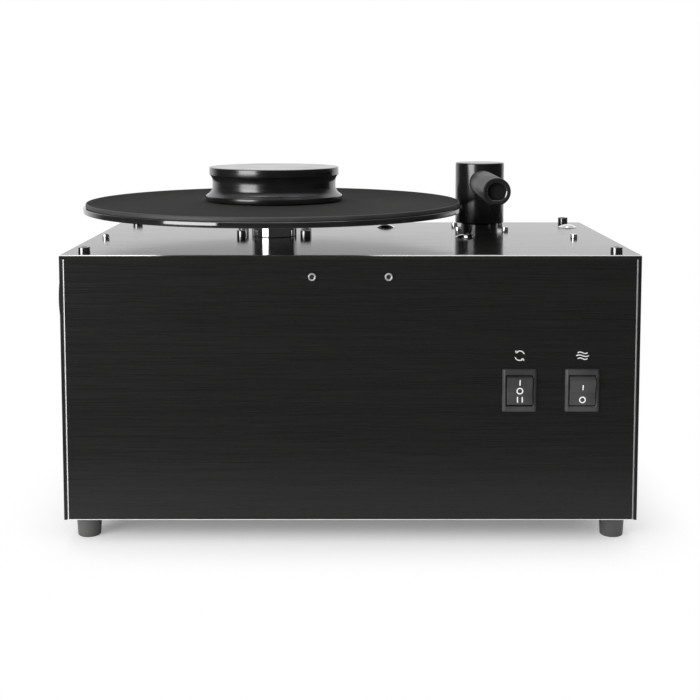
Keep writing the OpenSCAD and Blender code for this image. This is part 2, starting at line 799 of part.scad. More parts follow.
module gearbox_case() {
  wall = gearcase_wall;
  in_w = case_left + case_right - wall * 2;
  in_d = (case_half_d - wall) * 2;
  color([0.55, 0.56, 0.58]) difference() {
    translate([axis_x - case_left, -case_half_d, case_bottom_z])
      cube([case_left + case_right, case_half_d * 2, gearcase_h]);
    difference() {
      translate([axis_x - case_left + wall, -case_half_d + wall, case_bottom_z + wall])
        cube([in_w, in_d, gearcase_h]);
      case_screw_places() translate([-case_boss / 2 - wall, -case_boss / 2 - wall, 0])
        intersection() {
          cube([case_boss + wall * 2, case_boss + wall * 2, gearcase_h + cut * 2]);
          translate([wall, wall, 0]) cube([case_boss, case_boss, gearcase_h + cut * 2]);
        }
    }
    translate([axis_x, 0, case_bottom_z - cut]) cylinder(r = shaft_r + run_gap, h = wall + cut * 2);
    translate([axis_x + gear_c, 0, case_bottom_z - cut])
      cylinder(r = motor_boss_r + fix_gap, h = wall + cut * 2);
    case_screw_places() translate([0, 0, -cut])
      cylinder(r = m4_r + fix_gap, h = gearcase_h + cut * 2, $fn = 32);
  }
}

module long_screws() {
  color([0.7, 0.7, 0.72]) {
    case_screw_places() mirror([0, 0, 1]) cap_screw(m4_r, m4_head_r, long_head_h, long_screw_l);
    tank_screw_places() cap_screw(m4_r, m4_head_r, long_head_h, long_screw_l);
  }
}

module drive_motor() {
  color([0.62, 0.63, 0.65]) translate([axis_x + gear_c, 0, case_bottom_z]) difference() {
    union() {
      translate([0, 0, -motor_l]) cylinder(r = motor_r, h = motor_l);
      cylinder(r = motor_boss_r, h = gearcase_wall);
    }
    translate([0, 0, -motor_shaft_deep - rest_gap])
      cylinder(r = motor_shaft_r + run_gap, h = motor_shaft_deep + gearcase_wall + cut);
  }
}

module motor_pinion() {
  color([0.75, 0.62, 0.35]) translate([axis_x + gear_c, 0, 0]) {
    translate([0, 0, gear_z - pinion_extra]) rotate([0, 0, 180 / pinion_teeth])
      linear_extrude(gear_w + pinion_extra * 2) polygon(gear_outline(pinion_teeth));
    translate([0, 0, case_bottom_z - motor_shaft_deep]) cylinder(r = motor_shaft_r,
      h = gear_z - pinion_extra - case_bottom_z + motor_shaft_deep + cut);
  }
}

module drive_gear() {
  color([0.78, 0.66, 0.38]) translate([axis_x, 0, gear_z]) difference() {
    union() {
      linear_extrude(gear_w) polygon(gear_outline(gear_teeth));
      cylinder(r = gear_boss_r, h = gear_w + gear_boss_h);
    }
    translate([0, 0, -cut]) cylinder(r = shaft_r + fix_gap, h = gear_w + gear_boss_h + cut * 2);
  }
}

module platter_shaft() {
  bottom = case_bottom_z + 0.5;
  spindle_top = mat_top_z + spindle_h;
  color([0.78, 0.79, 0.8]) translate([axis_x, 0, 0]) {
    translate([0, 0, bottom]) cylinder(r = shaft_r, h = mat_z - bottom);
    translate([0, 0, mat_z - cut]) cylinder(r = spindle_r, h = spindle_top - spindle_tip - mat_z + cut);
    translate([0, 0, spindle_top - spindle_tip])
      cylinder(r1 = spindle_r, r2 = spindle_r - spindle_tip, h = spindle_tip);
  }
}

module hub() {
  color([0.8, 0.8, 0.8]) translate([axis_x, 0, hub_z]) difference() {
    rotate_extrude() polygon([[shaft_r + fix_gap, 0], [hub_r - edge_soft, 0], [hub_r, edge_soft],
      [hub_r, hub_h], [shaft_r + fix_gap, hub_h]]);
    hub_screw_place() cylinder(r = grub_r + fix_gap, h = hub_r * 2, $fn = 48);
  }
}

// Axis of the grub screw, from the shaft outward
module hub_screw_place() {
  translate([0, 0, grub_up]) rotate([0, 0, -90 - grub_turn]) rotate([0, 90, 0]) children();
}

module hub_screw() {
  l = hub_r - shaft_r - 2.5;
  color([0.2, 0.2, 0.2]) translate([axis_x, 0, hub_z]) hub_screw_place()
    translate([0, 0, shaft_r + fix_gap]) difference() {
      cylinder(r = grub_r, h = l, $fn = 48);
      translate([0, 0, l - grub_r]) cylinder(r = grub_r * 0.55, h = grub_r + cut, $fn = 6);
    }
}

module platter() {
  color([0.05, 0.05, 0.055]) translate([axis_x, 0, platter_z]) rotate_extrude($fn = 180)
    polygon([[shaft_r + fix_gap, 0], [platter_r - edge_soft, 0], [platter_r, edge_soft],
      [platter_r, platter_t - edge_soft], [platter_r - edge_soft, platter_t],
      [shaft_r + fix_gap, platter_t]]);
}

module platter_mat() {
  soft = edge_soft;
  hole = spindle_r + run_gap * 2;
  color([0.2, 0.2, 0.2]) translate([axis_x, 0, mat_z]) rotate_extrude($fn = 180)
    polygon(concat([[hole, 0], [mat_r, 0]], arc([mat_r - soft, mat_t - soft], soft, 0, 90, 3),
      [[hole, mat_t]]));
}

// Half outline of the clamp, from its underside up; the waist is one arc between its foot and its head
module clamp() {
  body_h = clamp_h - clamp_lift;
  waist_lo = clamp_edge_h + 1.2;
  waist_hi = body_h - clamp_band_h;
  mid_h = (waist_lo + waist_hi) / 2;
  sag_foot = clamp_foot_r - 1.2 - clamp_waist_r;
  sag_head = clamp_head_r - 0.6 - clamp_waist_r;
  bore_h = spindle_h + 3;
  bore_r = spindle_r + run_gap;
  foot_arc = [for (i = [0 : 8]) let (s = i / 8) [clamp_waist_r + sag_foot * pow(1 - s, 2.2),
    waist_lo + (mid_h - waist_lo) * s]];
  head_arc = [for (i = [1 : 8]) let (s = i / 8) [clamp_waist_r + sag_head * pow(s, 2.2),
    mid_h + (waist_hi - mid_h) * s]];
  color([0.04, 0.04, 0.045]) translate([axis_x, 0, mat_top_z + clamp_lift]) difference() {
    rotate_extrude($fn = 144) polygon(concat(
      [[0, 0], [clamp_foot_r - 0.6, 0], [clamp_foot_r, 0.6], [clamp_foot_r, clamp_edge_h],
        [clamp_foot_r - 0.4, clamp_edge_h + 0.7]],
      foot_arc, head_arc,
      [[clamp_head_r, waist_hi + 0.6], [clamp_head_r, body_h - 0.8], [clamp_head_r - 0.8, body_h],
        [0, body_h]]));
    translate([0, 0, -cut]) cylinder(r = bore_r, h = bore_h + cut);
    difference() {
      translate([0, 0, -cut]) cylinder(r = pad_out_r + fix_gap, h = pad_deep + cut);
      translate([0, 0, -cut * 2]) cylinder(r = pad_in_r - fix_gap, h = pad_deep + cut * 4);
    }
  }
}

module clamp_pad() {
  color([0.12, 0.12, 0.12]) translate([axis_x, 0, mat_top_z + rest_gap]) difference() {
    cylinder(r = pad_out_r, h = pad_deep + clamp_lift - rest_gap);
    translate([0, 0, -cut]) cylinder(r = pad_in_r, h = pad_deep + clamp_lift + cut * 2);
  }
}

// Suction arm and its post
module post_socket() {
  color([0.05, 0.05, 0.055]) translate([arm_px, arm_py, 0]) difference() {
    union() {
      translate([0, 0, socket_bottom_z]) cylinder(r = neck_r, h = neck_z - socket_bottom_z);
      translate([-socket_half, -socket_half, under_z - socket_flange_t])
        cube([socket_half * 2, socket_half * 2, socket_flange_t]);
    }
    translate([0, 0, socket_bottom_z - cut])
      cylinder(r = lift_r + run_gap, h = neck_z - socket_bottom_z + cut * 2);
    for (sx = [-1, 1], sy = [-1, 1])
      translate([sx * socket_screw_in, sy * socket_screw_in, under_z - socket_flange_t - cut])
        cylinder(r = m3_r + fix_gap, h = socket_flange_t + cut * 2, $fn = 32);
  }
}

module lift_seal() {
  color([0.1, 0.1, 0.1]) translate([arm_px, arm_py, lid_z + lid_t]) difference() {
    cylinder(r = neck_r, h = seal_t);
    translate([0, 0, -cut]) cylinder(r = lift_r + run_gap, h = seal_t + cut * 2);
  }
}

module lift_tube() {
  color([0.75, 0.76, 0.77]) translate([arm_px, arm_py, 0]) difference() {
    union() {
      translate([0, 0, lift_bottom_z]) cylinder(r = lift_r, h = lift_top_z - lift_bottom_z);
      translate([0, 0, ring_z]) cylinder(r = ring_r, h = ring_t);
    }
    translate([0, 0, lift_bottom_z - cut])
      cylinder(r = lift_bore_r, h = lift_top_z - lift_bottom_z + cut * 2);
  }
}

// Sleeve that turns on the lift tube, with the air chamber that the arm opens into
module arm_sleeve() {
  top = face_z + sleeve_up;
  ledge_z = lift_top_z + rest_gap;
  color([0.04, 0.04, 0.045]) translate([arm_px, arm_py, 0]) difference() {
    rotate_extrude() polygon([[0, sleeve_z], [sleeve_r - edge_soft, sleeve_z],
      [sleeve_r, sleeve_z + edge_soft], [sleeve_r, top - edge_soft * 2],
      [sleeve_r - edge_soft * 2, top], [0, top]]);
    translate([0, 0, sleeve_z - cut]) cylinder(r = lift_r + run_gap, h = ledge_z - sleeve_z + cut);
    translate([0, 0, ledge_z - cut]) cylinder(r = lift_bore_r, h = shoulder_t + cut * 2);
    translate([0, 0, ledge_z + shoulder_t])
      cylinder(r = chamber_r, h = top - cap_t - ledge_z - shoulder_t);
    translate([0, 0, arm_z]) rotate([90, 0, 0]) cylinder(r = arm_r + fix_gap, h = sleeve_r * 2);
  }
}

module arm_tube() {
  flat_z = -arm_r + arm_flat;
  color([0.05, 0.05, 0.055]) translate([arm_px, arm_py, arm_z]) difference() {
    rotate([90, 0, 0]) rotate_extrude() polygon([[arm_bore_r, 0], [arm_r, 0],
      [arm_r, arm_l - edge_soft], [arm_r - edge_soft, arm_l], [arm_bore_r, arm_l]]);
    translate([0, 0, -arm_r * 2]) cylinder(r = chamber_r, h = arm_r * 4);
    translate([-arm_r, -arm_l - cut, flat_z - arm_r])
      cube([arm_r * 2, arm_l - sleeve_r - 6, arm_r]);
    translate([-slot_w / 2, -arm_l + arm_slot_end + plug_in + plug_l, -arm_r - cut])
      cube([slot_w, slot_l, arm_r]);
  }
}

module arm_plug() {
  color([0.03, 0.03, 0.03]) translate([arm_px, arm_py - arm_l + plug_in, arm_z]) rotate([-90, 0, 0])
    cylinder(r = arm_bore_r - fix_gap, h = plug_l);
}

// Two velvet strips on the arm's flat, one on each side of the slot
module arm_lips() {
  flat_half = sqrt(pow(arm_r, 2) - pow(arm_r - arm_flat, 2));
  color([0.1, 0.1, 0.1]) for (sx = [-1, 1])
    translate([arm_px + (sx < 0 ? -flat_half : slot_w / 2),
      arm_py - arm_l + arm_slot_end + plug_in + plug_l - 2, arm_z - arm_r + arm_flat - lip_t])
      cube([flat_half - slot_w / 2, slot_l + 4, lip_t]);
}

// Waste tank
module dome_bolts() {
  ball_r = (pow(dome_r, 2) + pow(dome_h, 2)) / dome_h / 2;
  color([0.85, 0.85, 0.86]) for (p = dome_places) at(p[0], p[1], face_z) {
    intersection() {
      translate([0, 0, dome_h - ball_r]) sphere(r = ball_r);
      cylinder(r = dome_r + cut, h = dome_h + cut);
    }
    translate([0, 0, -dome_bolt_l]) cylinder(r = m5_r, h = dome_bolt_l + cut / 2, $fn = 32);
  }
}

module isolators() {
  color([0.08, 0.08, 0.08]) for (p = dome_places) at(p[0], p[1], lid_z + lid_t) difference() {
    rotate_extrude() polygon(concat([[0, 0], [isolator_r, 0]],
      [for (i = [0 : 6]) [isolator_r - 1.5 * sin(i * 30), isolator_h * (0.1 + 0.8 * i / 6)]],
      [[isolator_r, isolator_h], [0, isolator_h]]));
    translate([0, 0, -cut]) cylinder(r = m5_r + fix_gap, h = isolator_h + cut * 2, $fn = 32);
  }
}

module tank_screw_places() {
  inset = tank_wall + tank_boss / 2;
  for (x = [tank_left + inset, tank_right - inset], back = [tank_front + inset, tank_rear - inset])
    at(x, back, lid_z + lid_t) children();
}

module tank_lid() {
  left = dome_places[0][0] - lid_margin;
  right = dome_places[2][0] + lid_margin;
  front = dome_places[1][1] - lid_margin;
  color([0.25, 0.26, 0.28]) difference() {
    at(left, front, lid_z) cube([right - left, tank_rear - front, lid_t]);
    translate([arm_px, arm_py, lid_z - cut]) cylinder(r = lift_r + fit_gap, h = lid_t + cut * 2);
    for (p = dome_places) at(p[0], p[1], lid_z - cut)
      cylinder(r = m5_r + fix_gap, h = lid_t + cut * 2, $fn = 32);
    tank_screw_places() translate([0, 0, -lid_t - cut])
      cylinder(r = m4_r + fix_gap, h = lid_t + cut * 2, $fn = 32);
  }
}

module waste_tank() {
  wall = tank_wall;
  color([0.85, 0.86, 0.84]) difference() {
    at(tank_left, tank_front, tank_z) cube([tank_w, tank_d, tank_h]);
    difference() {
      at(tank_left + wall, tank_front + wall, tank_z + wall)
        cube([tank_w - wall * 2, tank_d - wall * 2, tank_h]);
      tank_screw_places() translate([-tank_boss / 2, -tank_boss / 2, -lid_t - tank_h])
        cube([tank_boss, tank_boss, tank_h + lid_t + cut]);
    }
    tank_screw_places() translate([0, 0, -long_screw_l - cut])
      cylinder(r = m4_r + fix_gap, h = long_screw_l + cut, $fn = 32);
    at(fan_x, fan_back, tank_z - cut) cylinder(r = inlet_r + fix_gap, h = wall + cut * 2);
    at(tap_x, tank_rear + cut, tap_z) rotate([90, 0, 0])
      cylinder(r = tap_neck_r + fix_gap, h = wall + cut * 2);
  }
}

// Vacuum fan
module fan_cover() {
  color([0.15, 0.15, 0.16]) at(fan_x, fan_back, tank_z - fan_cover_t) difference() {
    union() {
      cylinder(r = fan_r, h = fan_cover_t);
      cylinder(r = inlet_r, h = neck_top_z - tank_z + fan_cover_t);
    }
    translate([0, 0, -cut])
      cylinder(r = inlet_r - 2.5, h = neck_top_z - tank_z + fan_cover_t + cut * 2);
  }
}

module fan_housing() {
  color([0.15, 0.15, 0.16]) at(fan_x, fan_back, fan_z) difference() {
    union() {
      cylinder(r = fan_r, h = fan_h);
      translate([0, 0, fan_h / 2]) rotate([90, 0, 0])
        cylinder(r = outlet_r + 2, h = fan_r + 10);
    }
    translate([0, 0, fan_wall]) cylinder(r = fan_r - fan_wall, h = fan_h);
    translate([0, 0, -cut]) cylinder(r = impeller_shaft_r + fit_gap, h = fan_wall + cut * 2);
    translate([0, 0, fan_h / 2]) rotate([90, 0, 0]) cylinder(r = outlet_r, h = fan_r + 10 + cut);
  }
}

module impeller() {
  disc_z = fan_z + fan_wall + 3;
  vane_h = fan_h - fan_wall - 10;
  color([0.7, 0.7, 0.72]) at(fan_x, fan_back, 0) {
    translate([0, 0, disc_z]) cylinder(r = impeller_r, h = 2);
    translate([0, 0, disc_z]) cylinder(r = impeller_shaft_r + 5, h = 8);
    for (i = [0 : vane_count - 1]) rotate([0, 0, i * 360 / vane_count])
      translate([inlet_r + 4, -0.75, disc_z + 1]) cube([impeller_r - inlet_r - 5, 1.5, vane_h]);
    translate([0, 0, fan_z - vac_shaft_deep])
      cylinder(r = impeller_shaft_r, h = disc_z - fan_z + vac_shaft_deep + cut);
  }
}

module vacuum_motor() {
  bottom = floor_z + mount_t;
  color([0.6, 0.61, 0.63]) at(fan_x, fan_back, bottom) difference() {
    rotate_extrude() polygon([[0, 0], [vac_r - vac_round, 0], [vac_r, vac_round],
      [vac_r, fan_z - bottom], [0, fan_z - bottom]]);
    translate([0, 0, fan_z - bottom - vac_shaft_deep - rest_gap])
      cylinder(r = impeller_shaft_r + run_gap, h = vac_shaft_deep + cut);
  }
}

module motor_mount() {
  color([0.06, 0.06, 0.06]) at(fan_x, fan_back, floor_z) difference() {
    cylinder(r = vac_r - vac_round, h = mount_t);
    translate([0, 0, -cut]) cylinder(r = vac_r - vac_round * 3, h = mount_t + cut * 2);
  }
}

// Drain tap: neck through the tank's wall and the rear panel, body outside with a stem bore, then the spout
module drain_tap() {
  neck_l = cabinet_d - tank_rear + tank_wall;
  color([0.75, 0.62, 0.35]) at(tap_x, cabinet_d, tap_z) rotate([-90, 0, 0]) difference() {
    union() {
      translate([0, 0, -neck_l]) cylinder(r = tap_neck_r, h = neck_l + cut);
      cylinder(r = tap_body_r, h = tap_body_l);
      translate([0, 0, tap_body_l - cut]) cylinder(r = spout_r, h = spout_l + cut);
      translate([0, 0, -cabinet_d + tank_rear]) cylinder(r = tap_body_r, h = tap_flange_t);
    }
    translate([0, 0, -neck_l - cut])
      cylinder(r = tap_bore_r, h = neck_l + tap_body_l + spout_l + cut * 2);
    translate([0, 0, tap_body_l / 2]) rotate([90, 0, 0])
      cylinder(r = stem_r + run_gap, h = tap_body_r + cut, $fn = 48);
  }
}

module drain_lever() {
  color([0.7, 0.1, 0.08]) at(tap_x, cabinet_d + tap_body_l / 2, tap_z) {
    translate([0, 0, tap_bore_r + fit_gap])
      cylinder(r = stem_r, h = tap_body_r - tap_bore_r + cut, $fn = 48);
    translate([-lever_l, -lever_w / 2, tap_body_r + fit_gap * 2]) cube([lever_l, lever_w, lever_t]);
    translate([0, 0, tap_body_r + fit_gap * 2]) cylinder(r = lever_w / 2 + 1.5, h = lever_t + 1);
  }
}

// Round vent on the left side: a shell with louvre slots and a collar in the panel's hole
module side_vent() {
  color([0.05, 0.05, 0.055]) at(-cabinet_w / 2, vent_back, vent_z) rotate([0, -90, 0]) difference() {
    rotate_extrude() polygon(concat(
      [[vent_r - vent_collar - vent_wall, -side_t - 1], [vent_r - vent_collar, -side_t - 1],
        [vent_r - vent_collar, 0], [vent_r, 0]],
      arc([vent_r - 4, vent_proud - 4], 4, 0, 90, 6),
      [[0, vent_proud], [0, vent_proud - vent_wall], [vent_r - 7, vent_proud - vent_wall],
        [vent_r - vent_collar - vent_wall, vent_proud - vent_wall - 1]]));
    for (i = [-3 : 3]) {
      half_l = sqrt(pow(vent_r - 7, 2) - pow(i * vent_slot_pitch, 2));
      translate([i * vent_slot_pitch - vent_slot_w / 2, -half_l, vent_proud - vent_wall - cut])
        cube([vent_slot_w, half_l * 2, vent_wall + cut * 2]);
    }
  }
}

// Mains inlet with its socket above and its fuse drawer below; +Y is out of the rear panel
module mains_inlet() {
  flange_w = inlet_w + inlet_lip * 2;
  flange_h = inlet_h + inlet_lip * 2;
  color([0.06, 0.06, 0.06]) at(-inlet_x, cabinet_d, inlet_z) difference() {
    union() {
      translate([-inlet_w / 2, -inlet_deep, -inlet_h / 2]) cube([inlet_w, inlet_deep + cut, inlet_h]);
      translate([-flange_w / 2, 0, -flange_h / 2]) cube([flange_w, inlet_flange_t, flange_h]);
    }
    translate([-cavity_w / 2, inlet_flange_t - cavity_deep, cavity_up - cavity_h / 2])
      cube([cavity_w, cavity_deep + cut, cavity_h]);
    inlet_pin_places() translate([0, -inlet_deep, 0])
      cube([pin_w + fix_gap * 2, inlet_deep * 2, pin_h + fix_gap * 2], center = true);
    translate([-drawer_w / 2 - drawer_gap, -drawer_l - drawer_gap,
      -drawer_drop - drawer_h / 2 - drawer_gap])
      cube([drawer_w + drawer_gap * 2, drawer_l + drawer_gap + inlet_flange_t + cut,
        drawer_h + drawer_gap * 2]);
  }
}

// Middle of each pin, in the inlet's own place
module inlet_pin_places() {
  for (p = pin_places) translate([p[0], 0, cavity_up + p[1]]) children();
}

module inlet_pins() {
  back = inlet_flange_t - cavity_deep;
  color([0.8, 0.8, 0.8]) at(-inlet_x, cabinet_d, inlet_z) inlet_pin_places()
    translate([-pin_w / 2, back - pin_tail, -pin_h / 2]) cube([pin_w, pin_tail + pin_l, pin_h]);
}

module fuse_drawer() {
  color([0.08, 0.08, 0.08]) at(-inlet_x, cabinet_d, inlet_z - drawer_drop) difference() {
    union() {
      translate([-drawer_w / 2, -drawer_l, -drawer_h / 2])
        cube([drawer_w, drawer_l + inlet_flange_t + cut, drawer_h]);
      translate([-drawer_w / 2 - drawer_lip, inlet_flange_t + rest_gap, -drawer_h / 2 - drawer_lip])
        cube([drawer_w + drawer_lip * 2, drawer_face_t, drawer_h + drawer_lip * 2]);
    }
    translate([-drawer_w / 2 + drawer_wall, -drawer_l + drawer_end, -drawer_h / 2 + drawer_wall])
      cube([drawer_w - drawer_wall * 2, fuse_l, drawer_h]);
  }
}

// Rocker switches: body with bezel, and a rocker that turns on two stub pivots
module switch_body(x) {
  gap = rocker_gap;
  deep = pivot_in + rocker_back + 3;
  color([0.07, 0.07, 0.075]) at(x, 0, switch_z) difference() {
    union() {
      translate([-bezel_w / 2, -bezel_t, -bezel_h / 2]) cube([bezel_w, bezel_t, bezel_h]);
      translate([-socket_w / 2, -cut, -socket_h / 2]) cube([socket_w, socket_deep + cut, socket_h]);
    }
    translate([-rocker_w / 2 - gap, -bezel_t - cut, -rocker_h / 2 - gap])
      cube([rocker_w + gap * 2, bezel_t + deep + cut, rocker_h + gap * 2]);
    translate([-rocker_w / 2 - pivot_out - gap, pivot_in, 0]) rotate([0, 90, 0])
      cylinder(r = pivot_r + run_gap, h = rocker_w + pivot_out * 2 + gap * 2, $fn = 48);
  }
}

// Rocker with its pivot at the origin and its face towards -Y, level when tilt is 0
module rocker(tilt) {
  half = rocker_h / 2;
  out = pivot_in + bezel_t + rocker_out;
  rotate([tilt, 0, 0]) {
    intersection() {
      translate([-rocker_w / 2, 0, 0]) rotate([90, 0, 90]) linear_extrude(rocker_w)
        polygon([[-out, half], [-out + rocker_dip, 0], [-out, -half], [0, -half],
          [rocker_back, -half * 0.45], [rocker_back, half * 0.45], [0, half]]);
      rotate([0, 90, 0]) cylinder(r = half, h = rocker_w + cut, center = true);
    }
    rotate([0, 90, 0]) cylinder(r = pivot_r, h = rocker_w + pivot_out * 2, center = true, $fn = 48);
  }
}

module rotation_switch() { switch_body(rotation_x); }

module vacuum_switch() { switch_body(vacuum_x); }

module rotation_rocker() { color([0.09, 0.09, 0.095]) at(rotation_x, pivot_in, switch_z) rocker(0); }

module vacuum_rocker() {
  color([0.09, 0.09, 0.095]) at(vacuum_x, pivot_in, switch_z) rocker(rocker_tilt);
}

module power_supply() {
  color([0.6, 0.61, 0.6]) at(supply_x, supply_back, floor_z) difference() {
    union() {
      translate([-supply_w / 2, -supply_d / 2, supply_leg]) cube([supply_w, supply_d, supply_h]);
      for (sx = [-1, 1], sy = [-1, 1])
        translate([sx * (supply_w / 2 - supply_leg_in), sy * (supply_d / 2 - supply_leg_in), 0])
          cylinder(r = supply_leg_r, h = supply_leg + cut);
    }
    for (i = [-3 : 3])
      translate([i * supply_slot_pitch - supply_slot_w / 2, -supply_d / 2 + supply_slot_in,
        supply_leg + supply_h - supply_slot_deep])
        cube([supply_slot_w, supply_d - supply_slot_in * 2, supply_slot_deep + cut]);
  }
}

base_plate();
front_panel();
rear_panel();
left_panel();
right_panel();
top_plate();
corner_posts();
corner_screws();
feet();
foot_screws();
hex_nuts();
front_rail();
front_screws();
side_brackets();
plate_screws();
panel_screws();
bearing_block();
bearing_screws();
platter_bearing();
thrust_washer();
gearbox_case();
long_screws();
drive_motor();
post_socket();
lift_seal();
dome_bolts();
isolators();
tank_lid();
waste_tank();
fan_cover();
fan_housing();
vacuum_motor();
motor_mount();
drain_tap();
side_vent();
mains_inlet();
inlet_pins();
rotation_switch();
vacuum_switch();
power_supply();
platter_shaft();
hub();
hub_screw();
platter();
platter_mat();
drive_gear();
clamp();
clamp_pad();
motor_pinion();
lift_tube();
arm_sleeve();
arm_tube();
arm_plug();
arm_lips();
rotation_rocker();
vacuum_rocker();
fuse_drawer();
drain_lever();
impeller();
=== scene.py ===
"""Looks of the record cleaning machine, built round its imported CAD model. Metres, +Z up, front towards -Y."""
import math

import bmesh
import bpy
from mathutils import Matrix, Vector


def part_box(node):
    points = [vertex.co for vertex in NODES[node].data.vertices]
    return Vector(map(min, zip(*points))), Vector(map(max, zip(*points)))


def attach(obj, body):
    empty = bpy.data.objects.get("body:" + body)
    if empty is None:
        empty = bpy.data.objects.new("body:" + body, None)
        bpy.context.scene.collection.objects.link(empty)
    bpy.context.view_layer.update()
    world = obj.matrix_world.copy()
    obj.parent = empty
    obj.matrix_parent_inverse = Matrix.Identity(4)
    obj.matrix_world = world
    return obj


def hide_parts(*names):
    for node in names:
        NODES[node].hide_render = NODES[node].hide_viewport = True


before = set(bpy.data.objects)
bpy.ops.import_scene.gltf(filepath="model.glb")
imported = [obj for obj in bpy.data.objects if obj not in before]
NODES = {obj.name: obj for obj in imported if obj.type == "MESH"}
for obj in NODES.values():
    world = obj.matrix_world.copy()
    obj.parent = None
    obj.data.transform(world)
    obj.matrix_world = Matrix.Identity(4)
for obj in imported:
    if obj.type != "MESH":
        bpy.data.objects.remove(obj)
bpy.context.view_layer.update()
MM = 0.001
SEGMENTS = 96


# Places taken from the frame

def middle(part):
    """Middle of a node's box."""
    lo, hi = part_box(part)
    return (lo + hi) / 2


plate_lo, plate_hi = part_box("top_plate")
face_z = plate_hi.z
front_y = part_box("front_panel")[0].y
left_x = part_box("left_panel")[0].x
right_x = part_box("right_panel")[1].x
rear_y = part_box("rear_panel")[1].y
axis = middle("platter")
post = middle("arm_sleeve")
arm_axis = middle("arm_plug")


# Camera: in front and above, tilted down a little; the lens shift takes up the rest of the framing

CAMERA_AT = Vector((3.45, -981.8, 315.67)) * MM
CAMERA_DOWN = 5.07
FOCAL_PX = 1224.6
FRAME_PX = 700
SENSOR_MM = 36
LENS_SHIFT = -0.2
camera_data = bpy.data.cameras.new("camera")
camera_data.sensor_width = SENSOR_MM
camera_data.lens = FOCAL_PX / FRAME_PX * SENSOR_MM
camera_data.shift_y = LENS_SHIFT
camera_data.clip_start = 0.05
camera_data.clip_end = 20
camera = bpy.data.objects.new("camera", camera_data)
camera.location = CAMERA_AT
camera.rotation_euler = (math.radians(90 - CAMERA_DOWN), 0, 0)
bpy.context.scene.collection.objects.link(camera)
bpy.context.scene.camera = camera


# Materials

# Depths of the bump for brushed streaks, turned rings, moulded stipple and fibres
STREAK_DEPTH = 0.04 * MM
RING_DEPTH = 0.03 * MM
STIPPLE_DEPTH = 0.1 * MM
FIBRE_DEPTH = 0.15 * MM
# Bevels: the size of the normal's part along an axis, and how far it may be from that
BEVEL_LEAN = 0.7
BEVEL_SPREAD = 0.2
# Below this height, on its lower edge, the front panel takes its light bevel colour: a painted highlight line
PANEL_HIGHLIGHT_Z = 17.45 * MM


def new_material(name):
    """New node material, with its node tree and its Principled shader."""
    mat = bpy.data.materials.new(name)
    mat.use_nodes = True
    return mat, mat.node_tree, mat.node_tree.nodes["Principled BSDF"]


def node(tree, kind, **values):
    """New shader node with its properties and input values set."""
    made = tree.nodes.new(kind)
    for key, value in values.items():
        if key in made.inputs:
            made.inputs[key].default_value = value
        else:
            setattr(made, key, value)
    return made


def maths(tree, operation, *inputs):
    """Math node on outputs or numbers."""
    made = node(tree, "ShaderNodeMath", operation=operation)
    for socket, value in zip(made.inputs, inputs):
        if isinstance(value, (int, float)):
            socket.default_value = value
        else:
            tree.links.new(value, socket)
    return made.outputs[0]


def parts(tree, kind, output):
    """X, Y and Z of a vector that a new node gives."""
    source = tree.nodes.new(kind)
    split = tree.nodes.new("ShaderNodeSeparateXYZ")
    tree.links.new(source.outputs[output], split.inputs[0])
    return split.outputs


def ramp(tree, source, stops):
    """Colour ramp on a factor; stops are (place, grey or colour)."""
    made = tree.nodes.new("ShaderNodeValToRGB")
    elements = made.color_ramp.elements
    while len(elements) < len(stops):
        elements.new(0.5)
    for element, (place, value) in zip(elements, stops):
        element.position = place
        colour = value if isinstance(value, tuple) else (value, value, value)
        element.color = (*colour, 1)
    tree.links.new(source, made.inputs["Fac"])
    return made.outputs["Color"]


def coords(tree, stretch=(1, 1, 1)):
    """Object coordinates, stretched per axis."""
    place = tree.nodes.new("ShaderNodeTexCoord")
    mapping = tree.nodes.new("ShaderNodeMapping")
    mapping.inputs["Scale"].default_value = stretch
    tree.links.new(place.outputs["Object"], mapping.inputs["Vector"])
    return mapping.outputs["Vector"]


def noise(tree, vector, scale, detail=2.0, rough=0.5):
    """Noise factor on a vector."""
    made = node(tree, "ShaderNodeTexNoise", Scale=scale, Detail=detail, Roughness=rough)
    tree.links.new(vector, made.inputs["Vector"])
    return made.outputs["Fac"]


def bump(tree, shader, height, strength, distance):
    """Bump from a height on the shader's normal."""
    made = node(tree, "ShaderNodeBump", Strength=strength, Distance=distance)
    tree.links.new(height, made.inputs["Height"])
    tree.links.new(made.outputs["Normal"], shader.inputs["Normal"])


def shade(tree, shader, factor, low, high, colours, rough):
    """Colour and roughness that run with a factor, from its low place to its high place."""
    tree.links.new(ramp(tree, factor, [(low, colours[0]), (high, colours[1])]), shader.inputs["Base Color"])
    tree.links.new(ramp(tree, factor, [(low, rough[0]), (high, rough[1])]), shader.inputs["Roughness"])


def brushed(name, dark, light, rough, grain, stretch):
    """Metal brushed along one axis: streaks in colour, roughness and a faint bump."""
    mat, tree, shader = new_material(name)
    shader.inputs["Metallic"].default_value = 1.0
    vector = coords(tree, stretch)
    fine = noise(tree, vector, 55, 5.0, 0.7)
    broad = noise(tree, vector, 9, 3.0, 0.5)
    streak = maths(tree, "MULTIPLY", maths(tree, "ADD", fine, broad), 0.5)
    shade(tree, shader, streak, 0.35, 0.65, (dark, light), rough)
    bump(tree, shader, streak, grain, STREAK_DEPTH)
    return mat


def edge_mask(tree, along):
    """One on faces that lean about 45 degrees along an axis of the frame, else nought."""
    lean = maths(tree, "ABSOLUTE", parts(tree, "ShaderNodeNewGeometry", "True Normal")[along])
    return maths(tree, "COMPARE", lean, BEVEL_LEAN, BEVEL_SPREAD)


def low_mask(tree, height):
    """One below a height of the frame, else nought."""
    return maths(tree, "LESS_THAN", parts(tree, "ShaderNodeTexCoord", "Object")["Z"], height)


